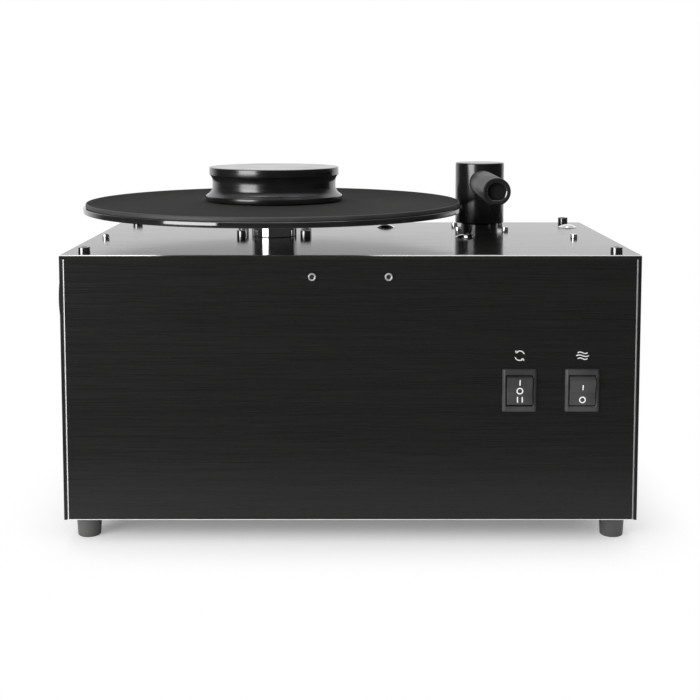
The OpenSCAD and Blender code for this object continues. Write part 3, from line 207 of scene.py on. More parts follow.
def blend(tree, factor, low, high):
    """Colour or grey that goes from one to the other by a factor; each may be an output or a grey."""
    made = node(tree, "ShaderNodeMix", data_type="RGBA")
    tree.links.new(factor, made.inputs["Factor"])
    for socket, value in zip([i for i in made.inputs if i.type == "RGBA"], (low, high)):
        if isinstance(value, (int, float)):
            socket.default_value = (value, value, value, 1)
        else:
            tree.links.new(value, socket)
    return [o for o in made.outputs if o.type == "RGBA"][0]


def edged(name, dark, light, rough, grain, stretch, along, low=None, bare_metal_and_painted_highlight=(0.8, 1.0, 0.22), tint=(1, 1, 1),
          ior=1.5):
    """Black brushed lacquer; its 45-degree bevels, and the part below the low height if one is given, take the
    bevel look, given as grey, metallic, roughness: bare metal on the top plate, and on the front panel a light,
    hardly metallic colour that is a painted highlight.
    """
    mat, tree, shader = new_material(name)
    shader.inputs["IOR"].default_value = ior
    vector = coords(tree, stretch)
    fine = noise(tree, vector, 24, 4.0, 0.6)
    broad = noise(tree, vector, 5, 3.0, 0.5)
    streak = maths(tree, "MULTIPLY_ADD", fine, 0.7, maths(tree, "MULTIPLY", broad, 0.3))
    mask = edge_mask(tree, along)
    if low is not None:
        mask = maths(tree, "MAXIMUM", mask, low_mask(tree, low))
    places = (0.36, 0.64)
    greys = [tuple(grey * t for t in tint) for grey in (dark, light)]
    shades = ramp(tree, streak, list(zip(places, greys)))
    roughs = ramp(tree, streak, list(zip(places, rough)))
    tree.links.new(blend(tree, mask, shades, bare_metal_and_painted_highlight[0]), shader.inputs["Base Color"])
    tree.links.new(blend(tree, mask, roughs, bare_metal_and_painted_highlight[2]), shader.inputs["Roughness"])
    tree.links.new(blend(tree, mask, 0.0, bare_metal_and_painted_highlight[1]), shader.inputs["Metallic"])
    bump(tree, shader, streak, grain, STREAK_DEPTH)
    return mat


def moulded(name, colour, rough, grain, scale=1800, spread=0.25, coat=0.0, specular=0.5, metallic=0.0,
            ior=1.5):
    """Moulded plastic, rubber or paint: fine stipple, cloudy gloss and slight colour change."""
    mat, tree, shader = new_material(name)
    shader.inputs["Metallic"].default_value = metallic
    shader.inputs["Specular IOR Level"].default_value = specular
    shader.inputs["IOR"].default_value = ior
    shader.inputs["Coat Weight"].default_value = coat
    shader.inputs["Coat Roughness"].default_value = 0.06
    vector = coords(tree)
    stipple = noise(tree, vector, scale, 2.0, 0.6)
    cloud = noise(tree, vector, 45, 3.0, 0.5)
    lighter = tuple(min(1, c * (1 + spread) + 0.002) for c in colour)
    darker = tuple(c * (1 - spread) for c in colour)
    shade(tree, shader, cloud, 0.3, 0.7, (darker, lighter), rough)
    bump(tree, shader, stipple, grain, STIPPLE_DEPTH)
    return mat


def turned(name, colour, rough, grain=0.25):
    """Turned metal: fine rings about the object's upright axis, in roughness and bump."""
    mat, tree, shader = new_material(name)
    shader.inputs["Metallic"].default_value = 1.0
    vector = coords(tree)
    wave = node(tree, "ShaderNodeTexWave", wave_type="RINGS", rings_direction="Z", Scale=210.0,
                Distortion=0.6, Detail=2.0)
    tree.links.new(vector, wave.inputs["Vector"])
    rings = wave.outputs["Fac"]
    cloud = noise(tree, vector, 60, 3.0)
    darker = tuple(c * 0.88 for c in colour)
    tree.links.new(ramp(tree, cloud, [(0.3, darker), (0.7, colour)]), shader.inputs["Base Color"])
    tree.links.new(ramp(tree, rings, [(0.2, rough[0]), (0.8, rough[1])]), shader.inputs["Roughness"])
    bump(tree, shader, rings, grain, RING_DEPTH)
    return mat


def felt(name, colour, rough=0.95, scale=2600):
    """Felt or velvet: short fibres, hardly any gloss."""
    mat, tree, shader = new_material(name)
    shader.inputs["Roughness"].default_value = rough
    shader.inputs["Specular IOR Level"].default_value = 0.12
    vector = coords(tree)
    fibre = noise(tree, vector, scale, 4.0, 0.75)
    pile = maths(tree, "MULTIPLY", fibre, noise(tree, vector, 90, 3.0, 0.6))
    lighter = tuple(c * 1.2 for c in colour)
    darker = tuple(c * 0.85 for c in colour)
    tree.links.new(ramp(tree, pile, [(0.15, darker), (0.4, lighter)]), shader.inputs["Base Color"])
    bump(tree, shader, fibre, 0.5, FIBRE_DEPTH)
    return mat


MATERIALS = {
    "top": edged("top", 0.012, 0.018, (0.1, 0.15), 0.05, (1, 12, 12), "Z", tint=(1, 1, 0.92), ior=1.45),
    # Front panel: its bevels and lower edge get a near-white, hardly metallic colour, a painted highlight
    "panel": edged("panel", 0.009, 0.0135, (0.2, 0.26), 0.07, (1, 70, 70), "X", PANEL_HIGHLIGHT_Z,
                   (0.88, 0.15, 0.5), (1, 1, 0.96), 1.42),
    "side": moulded("side", (0.0075, 0.0075, 0.0078), (0.33, 0.37), 0.2, spread=0.1, specular=0.35),
    "aluminium": brushed("aluminium", 0.45, 0.62, (0.3, 0.42), 0.4, (30, 30, 1)),
    "chrome": moulded("chrome", (0.82, 0.82, 0.83), (0.05, 0.1), 0.03, spread=0.04, metallic=1.0),
    "steel": moulded("steel", (0.75, 0.75, 0.75), (0.38, 0.46), 0.12, spread=0.1, metallic=0.8),
    "zinc": moulded("zinc", (0.62, 0.62, 0.63), (0.16, 0.3), 0.12, spread=0.12, metallic=1.0),
    "black_steel": moulded("black_steel", (0.2, 0.2, 0.205), (0.14, 0.26), 0.15, metallic=1.0),
    # Screw sockets: near black, painted shade deep in the hex sockets of every screw head
    "socket_painted_shade": moulded("socket_painted_shade", (0.02, 0.02, 0.021), (0.4, 0.5), 0.2),
    "hub": moulded("hub", (0.7, 0.7, 0.69), (0.03, 0.06), 0.01, spread=0.05, metallic=1.0),
    "rim": moulded("rim", (0.01, 0.01, 0.0105), (0.06, 0.1), 0.02, coat=0.3, ior=1.75),
    "mat": felt("mat", (0.03, 0.03, 0.029)),
    # Mat's edge: a lighter colour than the felt, painted light on the edge, with more gloss
    "mat_rim_painted_light": moulded("mat_rim_painted_light", (0.04, 0.04, 0.0395), (0.5, 0.6), 0.3, 2200, spread=0.15, specular=0.4),
    "velvet": felt("velvet", (0.02, 0.02, 0.021), 0.98, 3200),
    "clamp": moulded("clamp", (0.006, 0.006, 0.0062), (0.19, 0.25), 0.03, coat=0.15, ior=1.65),
    "clamp_top": moulded("clamp_top", (0.012, 0.012, 0.0115), (0.12, 0.18), 0.03, ior=1.45),
    "gloss_black": moulded("gloss_black", (0.005, 0.005, 0.0052), (0.17, 0.23), 0.04, coat=0.15, ior=1.6),
    "satin_black": moulded("satin_black", (0.011, 0.011, 0.0113), (0.36, 0.46), 0.25, specular=0.35),
    "bore_edge": moulded("bore_edge", (0.02, 0.02, 0.0205), (0.1, 0.16), 0.05, coat=1.0, ior=1.9),
    "plug": moulded("plug", (0.008, 0.008, 0.0082), (0.5, 0.6), 0.2, specular=0.2),
    "rubber": moulded("rubber", (0.03, 0.03, 0.031), (0.55, 0.7), 0.5, 1200),
    "foot": moulded("foot", (0.075, 0.075, 0.073), (0.3, 0.38), 0.2, 1200, spread=0.1, ior=1.7),
    "switch": moulded("switch", (0.044, 0.044, 0.0435), (0.36, 0.46), 0.45, 2400),
    "rocker": moulded("rocker", (0.046, 0.046, 0.046), (0.34, 0.44), 0.45, 2400, spread=0.18),
    "ink": moulded("ink", (0.85, 0.85, 0.84), (0.5, 0.6), 0.1, spread=0.05),
    "silver_ink": moulded("silver_ink", (0.74, 0.74, 0.73), (0.35, 0.45), 0.1, spread=0.05),
    "bronze": turned("bronze", (0.66, 0.42, 0.2), (0.25, 0.35)),
    "brass": moulded("brass", (0.72, 0.52, 0.26), (0.16, 0.28), 0.1, spread=0.1, metallic=1.0),
    "can": brushed("can", 0.4, 0.55, (0.3, 0.42), 0.4, (24, 24, 1)),
    "tank": moulded("tank", (0.72, 0.74, 0.7), (0.3, 0.42), 0.2, 700, spread=0.05),
    "lid": moulded("lid", (0.06, 0.062, 0.068), (0.4, 0.5), 0.35),
    "nylon": moulded("nylon", (0.82, 0.82, 0.78), (0.4, 0.5), 0.2, spread=0.04),
    "red": moulded("red", (0.5, 0.02, 0.015), (0.25, 0.35), 0.2, spread=0.12),
}


def dress(obj, name):
    """Puts one material on an object of the CAD model."""
    obj.data.materials.clear()
    obj.data.materials.append(MATERIALS[name])


# Mesh building

def link(bm, name, *materials):
    """Object from a bmesh, with its normals outward and a slot per material."""
    bmesh.ops.recalc_face_normals(bm, faces=bm.faces)
    mesh = bpy.data.meshes.new(name)
    bm.to_mesh(mesh)
    bm.free()
    obj = bpy.data.objects.new(name, mesh)
    bpy.context.scene.collection.objects.link(obj)
    for material in materials:
        mesh.materials.append(MATERIALS[material])
    return obj


def smooth(obj, angle=35):
    """Smooth shading that keeps edges sharper than the angle."""
    for face in obj.data.polygons:
        face.use_smooth = True
    obj.data.set_sharp_from_angle(angle=math.radians(angle))
    return obj


def finish_piece(obj, body, slot, *nodes):
    """Rides a piece on its body and hides the nodes that it stands for; the slot argument is not used."""
    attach(obj, body)
    if nodes:
        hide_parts(*nodes)
    return obj


def circle_verts(bm, matrix, r, h, segments):
    """Adds the vertices of a circle about the upright axis, moved by a matrix."""
    return [bm.verts.new(matrix @ Vector((r * math.cos(a), r * math.sin(a), h)))
            for a in (2 * math.pi * i / segments for i in range(segments))]


def bridge(bm, near, far):
    """Adds the faces between two rings of vertices."""
    after = [*range(1, len(near)), 0]
    return [bm.faces.new([near[i], near[j], far[j], far[i]]) for i, j in enumerate(after)]


def spin(bm, profile, at=(0, 0, 0), turn=None, segments=SEGMENTS, per_edge=None):
    """Adds a solid of revolution from (radius, height) points up its outside; per_edge gives materials."""
    place = Matrix.Translation(Vector(at)) @ (turn or Matrix.Identity(4))
    rings = []
    for r, h in profile:
        on_axis = r < 1e-7
        rings.append([bm.verts.new(place @ Vector((0, 0, h)))] if on_axis
                     else circle_verts(bm, place, r, h, segments))
    for index, (low, high) in enumerate(zip(rings, rings[1:])):
        if len(low) == 1 and len(high) == 1:
            continue
        for i in range(segments):
            j = (i + 1) % segments
            if len(low) == 1:
                corners = [low[0], high[j], high[i]]
            elif len(high) == 1:
                corners = [low[i], low[j], high[0]]
            else:
                corners = [low[i], low[j], high[j], high[i]]
            face = bm.faces.new(corners)
            if per_edge:
                face.material_index = per_edge[index]


def rod(r, length, start=0):
    """Profile of a plain round rod."""
    return [(0, start), (r, start), (r, start + length), (0, start + length)]


def arc_points(cx, cy, r, start, end, steps=5):
    """Points of an arc from one angle to another, in degrees."""
    return [(cx + r * math.cos(math.radians(start + (end - start) * i / steps)),
             cy + r * math.sin(math.radians(start + (end - start) * i / steps))) for i in range(steps + 1)]


def bevelled_box(bm, lo, hi, bevel, segments=2):
    """Adds a box, with all edges bevelled unless the bevel is nought."""
    made = bmesh.ops.create_cube(bm, size=1)
    size = Vector(hi) - Vector(lo)
    centre = (Vector(hi) + Vector(lo)) / 2
    for vert in made["verts"]:
        vert.co = Vector((vert.co.x * size.x, vert.co.y * size.y, vert.co.z * size.z)) + centre
    edges = {edge for vert in made["verts"] for edge in vert.link_edges}
    if bevel:
        bmesh.ops.bevel(bm, geom=list(edges), offset=bevel, segments=segments, profile=0.5,
                        affect="EDGES", clamp_overlap=True)


# Turns that take +Z to another direction
DOWN = Matrix.Rotation(math.pi, 4, "X")
TO_FRONT = Matrix.Rotation(math.pi / 2, 4, "X")
TO_REAR = Matrix.Rotation(-math.pi / 2, 4, "X")


def ring_piece(name, profile, place, material, turn=None, segments=SEGMENTS, per_edge=None, angle=35):
    """One turned piece from its profile; material is one name, or a list for per_edge."""
    bm = bmesh.new()
    spin(bm, profile, place, turn, segments, per_edge)
    materials = [material] if isinstance(material, str) else material
    return smooth(link(bm, name, *materials), angle)


def add_screw(bm, place, r, height, socket, turn=None, segments=40):
    """Adds a screw head with rolled edge and hexagonal socket, its base on the place and its face up."""
    matrix = Matrix.Translation(Vector(place)) @ (turn or Matrix.Identity(4))
    soft = min(0.35 * MM, height * 0.4)
    rim_r, chamfer = socket * 1.12, 0.15 * MM
    outline = ([(r, 0), (r, height - soft)] + arc_points(r - soft, height - soft, soft, 0, 90, 4)[1:]
               + [(rim_r, height)])
    rings = [circle_verts(bm, matrix, ring_r, h, segments) for ring_r, h in outline]
    for depth in (chamfer, height * 0.7):
        ring = []
        for i in range(segments):
            a = 2 * math.pi * i / segments
            sector = (a + math.pi / 6) % (math.pi / 3) - math.pi / 6
            reach = socket * math.cos(math.pi / 6) / math.cos(sector)
            corner = Vector((reach * math.cos(a), reach * math.sin(a), height - depth))
            ring.append(bm.verts.new(matrix @ corner))
        rings.append(ring)
    for low, high in zip(rings, rings[1:]):
        wall = bridge(bm, low, high)
    # The socket's walls and floor take the second material, painted shade in the socket
    for face in (*wall, bm.faces.new(rings[-1])):
        face.material_index = 1
    bm.faces.new(list(reversed(rings[0])))


def solid_boxes(name):
    """Boxes of a node's separate solids, each as (low corner, high corner)."""
    bm = bmesh.new()
    bm.from_mesh(NODES[name].data)
    bmesh.ops.remove_doubles(bm, verts=bm.verts, dist=1e-6)
    seen, boxes = set(), []
    for vert in bm.verts:
        if vert in seen:
            continue
        stack, group = [vert], []
        seen.add(vert)
        while stack:
            current = stack.pop()
            group.append(current.co.copy())
            for edge in current.link_edges:
                other = edge.other_vert(current)
                if other not in seen:
                    seen.add(other)
                    stack.append(other)
        boxes.append(tuple(Vector([pick(co[k] for co in group) for k in range(3)]) for pick in (min, max)))
    bm.free()
    return boxes


# Screw sizes: head radius, head height, socket radius, shank radius
M5_CAP = (4.25 * MM, 5 * MM, 2.35 * MM, 2.5 * MM)
M3_CAP = (2.8 * MM, 3 * MM, 1.5 * MM, 1.5 * MM)
M3_BUTTON = (2.8 * MM, 1.2 * MM, 1.8 * MM, 1.5 * MM)


def screws(name, part, sizes, slot, material, to_front=False):
    """Screws in place of a node's: detailed heads that point up or to the front, and plain shanks."""
    r, head, socket, shank_r = sizes
    bm = bmesh.new()
    for low, high in solid_boxes(part):
        x = (low.x + high.x) / 2
        if to_front:
            place = (x, low.y + head, (low.z + high.z) / 2)
            length = high.y - low.y - head
        else:
            place = (x, (low.y + high.y) / 2, high.z - head)
            length = high.z - head - low.z
        add_screw(bm, place, r, head, socket, TO_FRONT if to_front else None)
        spin(bm, rod(shank_r, length), place, TO_REAR if to_front else DOWN, 24)
    piece = smooth(link(bm, name, material, "socket_painted_shade"), 40)
    return finish_piece(piece, "cabinet", slot, part)


# Platter, mat, hub and clamp

def make_platter():
    """Platter: a disc with a rounded edge."""
    lo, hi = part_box("platter")
    r = (hi.x - lo.x) / 2
    t = hi.z - lo.z
    soft = 0.7 * MM
    bore = 6.4 * MM
    profile = ([(bore, 0), (r - soft, 0)] + arc_points(r - soft, soft, soft, -90, 0)
               + arc_points(r - soft, t - soft, soft, 0, 90) + [(bore, t), (bore, 0)])
    piece = ring_piece("platter_disc", profile, (axis.x, axis.y, lo.z), "rim", segments=256)
    finish_piece(piece, "platter", "top_metal", "platter")


def make_mat():
    """Mat with a rounded rim, sunk a little between its rim and the label's place."""
    lo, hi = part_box("platter_mat")
    r = (hi.x - lo.x) / 2
    t = hi.z - lo.z
    hole = 3.9 * MM
    chamfer = 0.4 * MM
    soft = 1.0 * MM
    rim_r = r - 5 * MM
    label_r, label_slope = 51 * MM, 2 * MM
    dip = 0.25 * MM
    profile = ([(hole, 0), (r - chamfer, 0), (r, chamfer)] + arc_points(r - soft, t - soft, soft, 0, 90)
               + [(rim_r, t), (rim_r - 0.4 * MM, t - dip), (label_r + label_slope, t - dip), (label_r, t),
                  (hole, t), (hole, 0)])
    # Chamfer, wall and the arc's five edges: the rim material, glossier than the felt and lighter in colour,
    # which is painted light on the mat's edge
    rim = [0] + [1] * 7 + [0] * (len(profile) - 9)
    piece = ring_piece("platter_felt", profile, (axis.x, axis.y, lo.z), ["mat", "mat_rim_painted_light"], segments=256,
                       per_edge=rim)
    finish_piece(piece, "platter", "mat_felt", "platter_mat")


def make_hub():
    """Polished hub, with rings near its ends that keep its wall's shading straight, and its grub screw."""
    lo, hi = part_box("hub")
    r = (hi.x - lo.x) / 2
    h = hi.z - lo.z
    bore = 6.3 * MM
    soft = 0.2 * MM
    hold = soft + 0.3 * MM
    low = -0.38 * MM
    profile = ([(bore, low), (r - soft, low)] + arc_points(r - soft, low + soft, soft, -90, 0, 3)
               + [(r, low + hold), (r, h - hold), (r, h - soft), (r - soft, h), (bore, h), (bore, low)])
    piece = ring_piece("platter_hub", profile, (axis.x, axis.y, lo.z), "hub", segments=128)
    finish_piece(piece, "platter", "polished_steel", "hub")
    grub_lo, grub_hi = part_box("hub_screw")
    grub_r = (grub_hi.z - grub_lo.z) / 2
    grub_at = (grub_lo + grub_hi) / 2
    outward = Vector((grub_at.x - axis.x, grub_at.y - axis.y, 0)).normalized()
    place = Vector((axis.x, axis.y, grub_at.z)) + outward * (r - 2.2 * MM)
    turn, back = ((way.to_track_quat("Z", "Y").to_matrix().to_4x4()) for way in (outward, -outward))
    bm = bmesh.new()
    add_screw(bm, place, grub_r, 1.4 * MM, grub_r * 0.55, turn)
    spin(bm, rod(grub_r - 0.2 * MM, 7 * MM), place, back, 32)
    grub = smooth(link(bm, "hub_grub", "black_steel", "socket_painted_shade"), 40)
    finish_piece(grub, "platter", "black_screws", "hub_screw")


def make_clamp():
    """Waisted clamp: foot, hollow curve and head band, a bore for the spindle and a recess for the pad."""
    lo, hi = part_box("clamp")
    foot_r = (hi.x - lo.x) / 2
    h = hi.z - lo.z
    waist_r = 49.3 * MM
    head_r = 51.7 * MM
    band = 6.4 * MM
    edge = 3.6 * MM
    low, high = edge + 1.2 * MM, h - band
    mid = (low + high) / 2
    steps = 14
    foot = [(waist_r + (foot_r - 1.2 * MM - waist_r) * (1 - i / steps) ** 3.0, low + (mid - low) * i / steps)
            for i in range(steps + 1)]
    head = [(waist_r + (head_r - 0.6 * MM - waist_r) * (i / steps) ** 3.6, mid + (high - mid) * i / steps)
            for i in range(1, steps + 1)]
    bore, deep, chamfer = 3.66 * MM, 17 * MM, 0.5 * MM
    pad_in, pad_out, pad_deep = 30 * MM, 47.2 * MM, 1.5 * MM
    foot_soft, foot_top, head_soft, lip = 0.6 * MM, 0.7 * MM, 0.5 * MM, 0.8 * MM
    profile = ([(0, deep), (bore, deep), (bore, chamfer), (bore + chamfer, 0), (pad_in, 0),
                (pad_in, pad_deep), (pad_out, pad_deep), (pad_out, 0), (foot_r - foot_soft, 0)]
               + arc_points(foot_r - foot_soft, foot_soft, foot_soft, -90, 0, 3)
               + arc_points(foot_r - foot_top, edge - 0.1 * MM, foot_top, 0, 80, 4)
               + foot + head
               + arc_points(head_r - head_soft, high + 0.55 * MM, head_soft, -80, 0, 3)
               + arc_points(head_r - lip, h - lip, lip, 0, 90, 6)
               + [(head_r - 3 * MM, h), (0, h)])
    flat_top = [0] * (len(profile) - 2) + [1]
    piece = ring_piece("record_clamp", profile, (axis.x, axis.y, lo.z), ["clamp", "clamp_top"],
                       segments=192, per_edge=flat_top, angle=30)
    finish_piece(piece, "clamp", "clamp_gloss", "clamp")


# Suction arm

LIFT_BORE = 12.56 * MM


def make_sleeve():
    """Closed sleeve on the lift tube, with a fine groove round its top."""
    lo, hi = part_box("arm_sleeve")
    r = (hi.x - lo.x) / 2
    h = hi.z - lo.z
    soft = 1.1 * MM
    groove_r, groove_w, groove = r - 3.5 * MM, 0.3 * MM, 0.25 * MM
    profile = ([(LIFT_BORE, 30 * MM), (LIFT_BORE, 0), (r - soft, 0)]
               + arc_points(r - soft, soft, soft, -90, 0, 4)
               + arc_points(r - soft, h - soft, soft, 0, 90, 6)
               + [(groove_r + groove_w, h), (groove_r, h - groove), (groove_r - groove_w, h), (0, h)])
    piece = ring_piece("arm_pillar", profile, (post.x, post.y, lo.z), "gloss_black", segments=144)
    finish_piece(piece, "arm", "arm_black", "arm_sleeve")


def make_arm():
    """Arm tube with a flat below, swept from the sleeve to its open end; its plug, velvet lips and slot."""
    lo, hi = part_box("arm_tube")
    r = (hi.x - lo.x) / 2
    bore = 7 * MM
    start, end = post.y - 19.5 * MM, lo.y
    cut = 0.9 * MM
    flat = cut - r
    steps = 72
    half_flat = math.degrees(math.acos((r - cut) / r))
    angles = [math.radians(-90 + half_flat + (360 - 2 * half_flat) * i / (steps - 1)) for i in range(steps)]
    soft = 0.9 * MM
    stations = [(start, r), (end + soft, r)]
    stations += [(end + soft - soft * math.sin(math.radians(a)), r - soft + soft * math.cos(math.radians(a)))
                 for a in (25, 50, 75, 90)]
    stations += [(end, bore + 0.7 * MM), (end + 0.5 * MM, bore), (end + 4 * MM, bore)]
    bm = bmesh.new()
    rings = []
    for y, ring_r in stations:
        ring = []
        for a in angles:
            z = max(ring_r * math.sin(a), flat) if ring_r > bore else ring_r * math.sin(a)
            x = ring_r * math.cos(a)
            ring.append(bm.verts.new(Vector((arm_axis.x + x, y, arm_axis.z + z))))
        rings.append(ring)
    for near, far in zip(rings, rings[1:]):
        for face in bridge(bm, near, far):
            face.material_index = 1 if far in rings[-2:] else 0
    bm.faces.new(rings[0])
    tube = smooth(link(bm, "arm_pipe", "satin_black", "bore_edge"), 40)
    finish_piece(tube, "arm", "arm_black", "arm_tube")

    plug_lo, plug_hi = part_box("arm_plug")
    plug_r = bore - 0.15 * MM
    back = plug_hi.y - plug_lo.y
    dish, rim = 2.6 * MM, 2.0 * MM
    profile = [(0, dish), (plug_r - 1.2 * MM, dish), (plug_r - 0.8 * MM, rim), (plug_r, rim), (plug_r, back),
               (0, back)]
    plug = ring_piece("arm_end_plug", profile, (arm_axis.x, plug_lo.y, arm_axis.z), "plug", TO_REAR, 64)
    finish_piece(plug, "arm", "arm_black", "arm_plug")

    lip_lo, lip_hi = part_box("arm_lips")
    half_slot = 1.2 * MM
    pile = 0.35 * MM
    bm = bmesh.new()
    for side in (-1, 1):
        outer = arm_axis.x + side * (lip_hi.x - lip_lo.x) / 2
        inner = arm_axis.x + side * half_slot
        bevelled_box(bm, (min(outer, inner), lip_lo.y, lip_lo.z),
                     (max(outer, inner), lip_hi.y, lip_hi.z + 0.05 * MM), pile, 3)
    lips = smooth(link(bm, "arm_velvet", "velvet"), 50)
    finish_piece(lips, "arm", "lip_velvet", "arm_lips")
    bm = bmesh.new()
    bevelled_box(bm, (arm_axis.x - half_slot, lip_lo.y + 2 * MM, arm_axis.z + flat - 0.02 * MM),
                 (arm_axis.x + half_slot, lip_hi.y - 2 * MM, arm_axis.z + flat + 0.3 * MM), 0)
    groove = link(bm, "arm_slot_shadow", "velvet")
    finish_piece(groove, "arm", "arm_black")


def make_socket():
    """Neck that the post stands in, with a rounded lip above the plate, over its flange below."""
    lo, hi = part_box("post_socket")
    neck = 15.6 * MM
    soft = 0.8 * MM
    flange = 5 * MM
    top = hi.z - lo.z
    profile = ([(LIFT_BORE, 0), (neck, 0), (neck, top - soft)]
               + arc_points(neck - soft, top - soft, soft, 0, 90, 4) + [(LIFT_BORE, top), (LIFT_BORE, 0)])
    bm = bmesh.new()
    spin(bm, profile, (post.x, post.y, lo.z))
    half = (hi.x - lo.x) / 2
    bevelled_box(bm, (post.x - half, post.y - half, plate_lo.z - flange),
                 (post.x + half, post.y + half, plate_lo.z), 0.5 * MM)
    piece = smooth(link(bm, "post_base", "gloss_black"), 40)
    finish_piece(piece, "cabinet", "arm_black", "post_socket")


# Cabinet fittings

def make_domes():
    """Domed bolts, each a polished cap on its shank."""
    brim = 0.25 * MM
    shank_r = 2.5 * MM
    bm = bmesh.new()
    for low, high in solid_boxes("dome_bolts"):
        place = ((low.x + high.x) / 2, (low.y + high.y) / 2, face_z)
        r = (high.x - low.x) / 2
        h = high.z - face_z
        ball = (r * r + h * h) / h / 2
        reach = math.degrees(math.asin(r / ball))
        dome = arc_points(0, h - ball, ball, 90 - reach, 90, 12)
        spin(bm, [(0, 0), (r - brim, 0), (r, brim)] + dome[1:-1] + [(0, h)], place, None, 64)
        spin(bm, rod(shank_r, face_z - low.z), place, DOWN, 24)
    piece = smooth(link(bm, "dome_heads", "chrome"), 45)
    finish_piece(piece, "cabinet", "dome_chrome", "dome_bolts")


def make_feet():
    """Tapered rubber feet with a rounded lower rim and a screw recess."""
    taper = 1.3 * MM
    soft = 1.2 * MM
    recess, deep, chamfer = 5.25 * MM, 9 * MM, 0.4 * MM
    bm = bmesh.new()
    for low, high in solid_boxes("feet"):
        top_r = (high.x - low.x) / 2
        bottom_r = top_r - taper
        h = high.z - low.z
        profile = ([(0, deep), (recess, deep), (recess, chamfer), (recess + chamfer, 0), (bottom_r - soft, 0)]
                   + arc_points(bottom_r - soft, soft, soft, -90, 0)
                   + [(top_r - 0.35 * MM, h - 0.8 * MM), (top_r, h - 0.5 * MM), (top_r, h), (0, h)])
        spin(bm, profile, ((low.x + high.x) / 2, (low.y + high.y) / 2, low.z), None, 72)
    piece = smooth(link(bm, "rubber_feet", "foot"), 40)
    finish_piece(piece, "cabinet", "rubber_black", "feet")


def rounded_outline(w, h, r, steps=5):
    """Corners of a rounded rectangle about the origin, anticlockwise."""
    corners = ((w / 2 - r, h / 2 - r, 0), (-w / 2 + r, h / 2 - r, 90),
               (-w / 2 + r, -h / 2 + r, 180), (w / 2 - r, -h / 2 + r, 270))
    return [point for cx, cy, start in corners for point in arc_points(cx, cy, r, start, start + 90, steps)]


def make_switch(name, part):
    """Switch: a bezel with a sloped frame round the rocker's well, and its body behind the panel."""
    lo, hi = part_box(part)
    cx, cz = (lo.x + hi.x) / 2, (lo.z + hi.z) / 2
    w, h = hi.x - lo.x, hi.z - lo.z
    well_w, well_h = 18.9 * MM, 22.1 * MM
    out = front_y - lo.y
    deep = 8 * MM
    rows = [
        (rounded_outline(w, h, 1.2 * MM), 0),
        (rounded_outline(w, h, 1.2 * MM), out * 0.2),
        (rounded_outline(w - 0.5 * MM, h - 0.4 * MM, 1.0 * MM), out * 0.4),
        (rounded_outline(well_w + 2.4 * MM, h - 1.4 * MM, 0.9 * MM), out * 0.95),
        (rounded_outline(well_w + 1.8 * MM, h - 1.9 * MM, 0.8 * MM), out),
        (rounded_outline(well_w + 1.0 * MM, well_h + 1.0 * MM, 0.6 * MM), out),
        (rounded_outline(well_w + 0.2 * MM, well_h + 0.2 * MM, 0.4 * MM), out - 0.4 * MM),
        (rounded_outline(well_w, well_h, 0.3 * MM), out - 0.9 * MM),
        (rounded_outline(well_w, well_h, 0.3 * MM), -deep),
    ]
    bm = bmesh.new()
    rings = [[bm.verts.new(Vector((cx + x, front_y - level, cz + z))) for x, z in outline]
             for outline, level in rows]
    for low, high in zip(rings, rings[1:]):
        bridge(bm, low, high)
    bm.faces.new(rings[-1])
    body = rounded_outline(w - 2.4 * MM, h - 2.6 * MM, 0.8 * MM)
    back, end = ([bm.verts.new(Vector((cx + x, y, cz + z))) for x, z in body] for y in (front_y, hi.y))
    bridge(bm, rings[0], back)
    bridge(bm, back, end)
    bm.faces.new(end)
    piece = smooth(link(bm, name, "switch"), 30)
    finish_piece(piece, "cabinet", "switch_plastic", part)


# Rocker: width and height, how far its ends stand before its pivot, how far its middle dips between them, and
# how far its pivot lies behind the front
ROCKER_W, ROCKER_H = 18.2 * MM, 21.4 * MM
ROCKER_OUT, ROCKER_DIP = 5.2 * MM, 1.2 * MM
PIVOT_IN = 1 * MM


def rocker_face(z):
    """How far the rocker's face stands before its pivot at a height: two slopes that meet in a valley."""
    return ROCKER_OUT - ROCKER_DIP * (1 - abs(z) / (ROCKER_H / 2))


def make_rocker(name, part, switch, tilt):
    """Rocker with a dished face and round ends that turn in the bezel's well; gives the frame of its face."""
    pivot = Vector((middle(part).x, front_y + PIVOT_IN, middle(switch).z))
    turn = Matrix.Rotation(math.radians(tilt), 4, "X")
    half = ROCKER_H / 2
    steps = 24
    outline = []
    for i in range(steps + 1):
        z = half * (1 - 2 * i / steps)
        y = -rocker_face(z)
        share = min(1, half / math.hypot(y, z))
        outline.append((y * share, z * share))
    outline += [(0, -half), (3 * MM, -half * 0.8), (5 * MM, -half * 0.45), (5 * MM, half * 0.45),
                (3 * MM, half * 0.8), (0, half)]
    bm = bmesh.new()
    inset = 0.5 * MM
    rows = []
    for x, shrink in ((-ROCKER_W / 2, 1), (-ROCKER_W / 2 + inset * 0.3, 0.35), (-ROCKER_W / 2 + inset, 0),
                      (ROCKER_W / 2 - inset, 0), (ROCKER_W / 2 - inset * 0.3, 0.35), (ROCKER_W / 2, 1)):
        row = []
        for y, z in outline:
            reach = math.hypot(y, z)
            factor = (reach - inset * shrink) / reach
            row.append(bm.verts.new(Vector((x, y * factor, z * factor))))
        rows.append(row)
    for near, far in zip(rows, rows[1:]):
        bridge(bm, near, far)
    bm.faces.new(rows[0])
    bm.faces.new(rows[-1])
    spin(bm, rod(1.6 * MM, ROCKER_W + 2 * MM, -ROCKER_W / 2 - MM), (0, 0, 0),
         Matrix.Rotation(math.pi / 2, 4, "Y"), 24)
    place = Matrix.Translation(pivot) @ turn
    bmesh.ops.transform(bm, matrix=place, verts=bm.verts)
    piece = smooth(link(bm, name, "rocker"), 25)
    finish_piece(piece, part, "rocker_plastic", part)
    return place


# Printed marks: how thick the ink lies, and the widths of lines on the rockers and on the panel
INK = 0.08 * MM
MARK_W = 0.8 * MM
ICON_W = 0.7 * MM


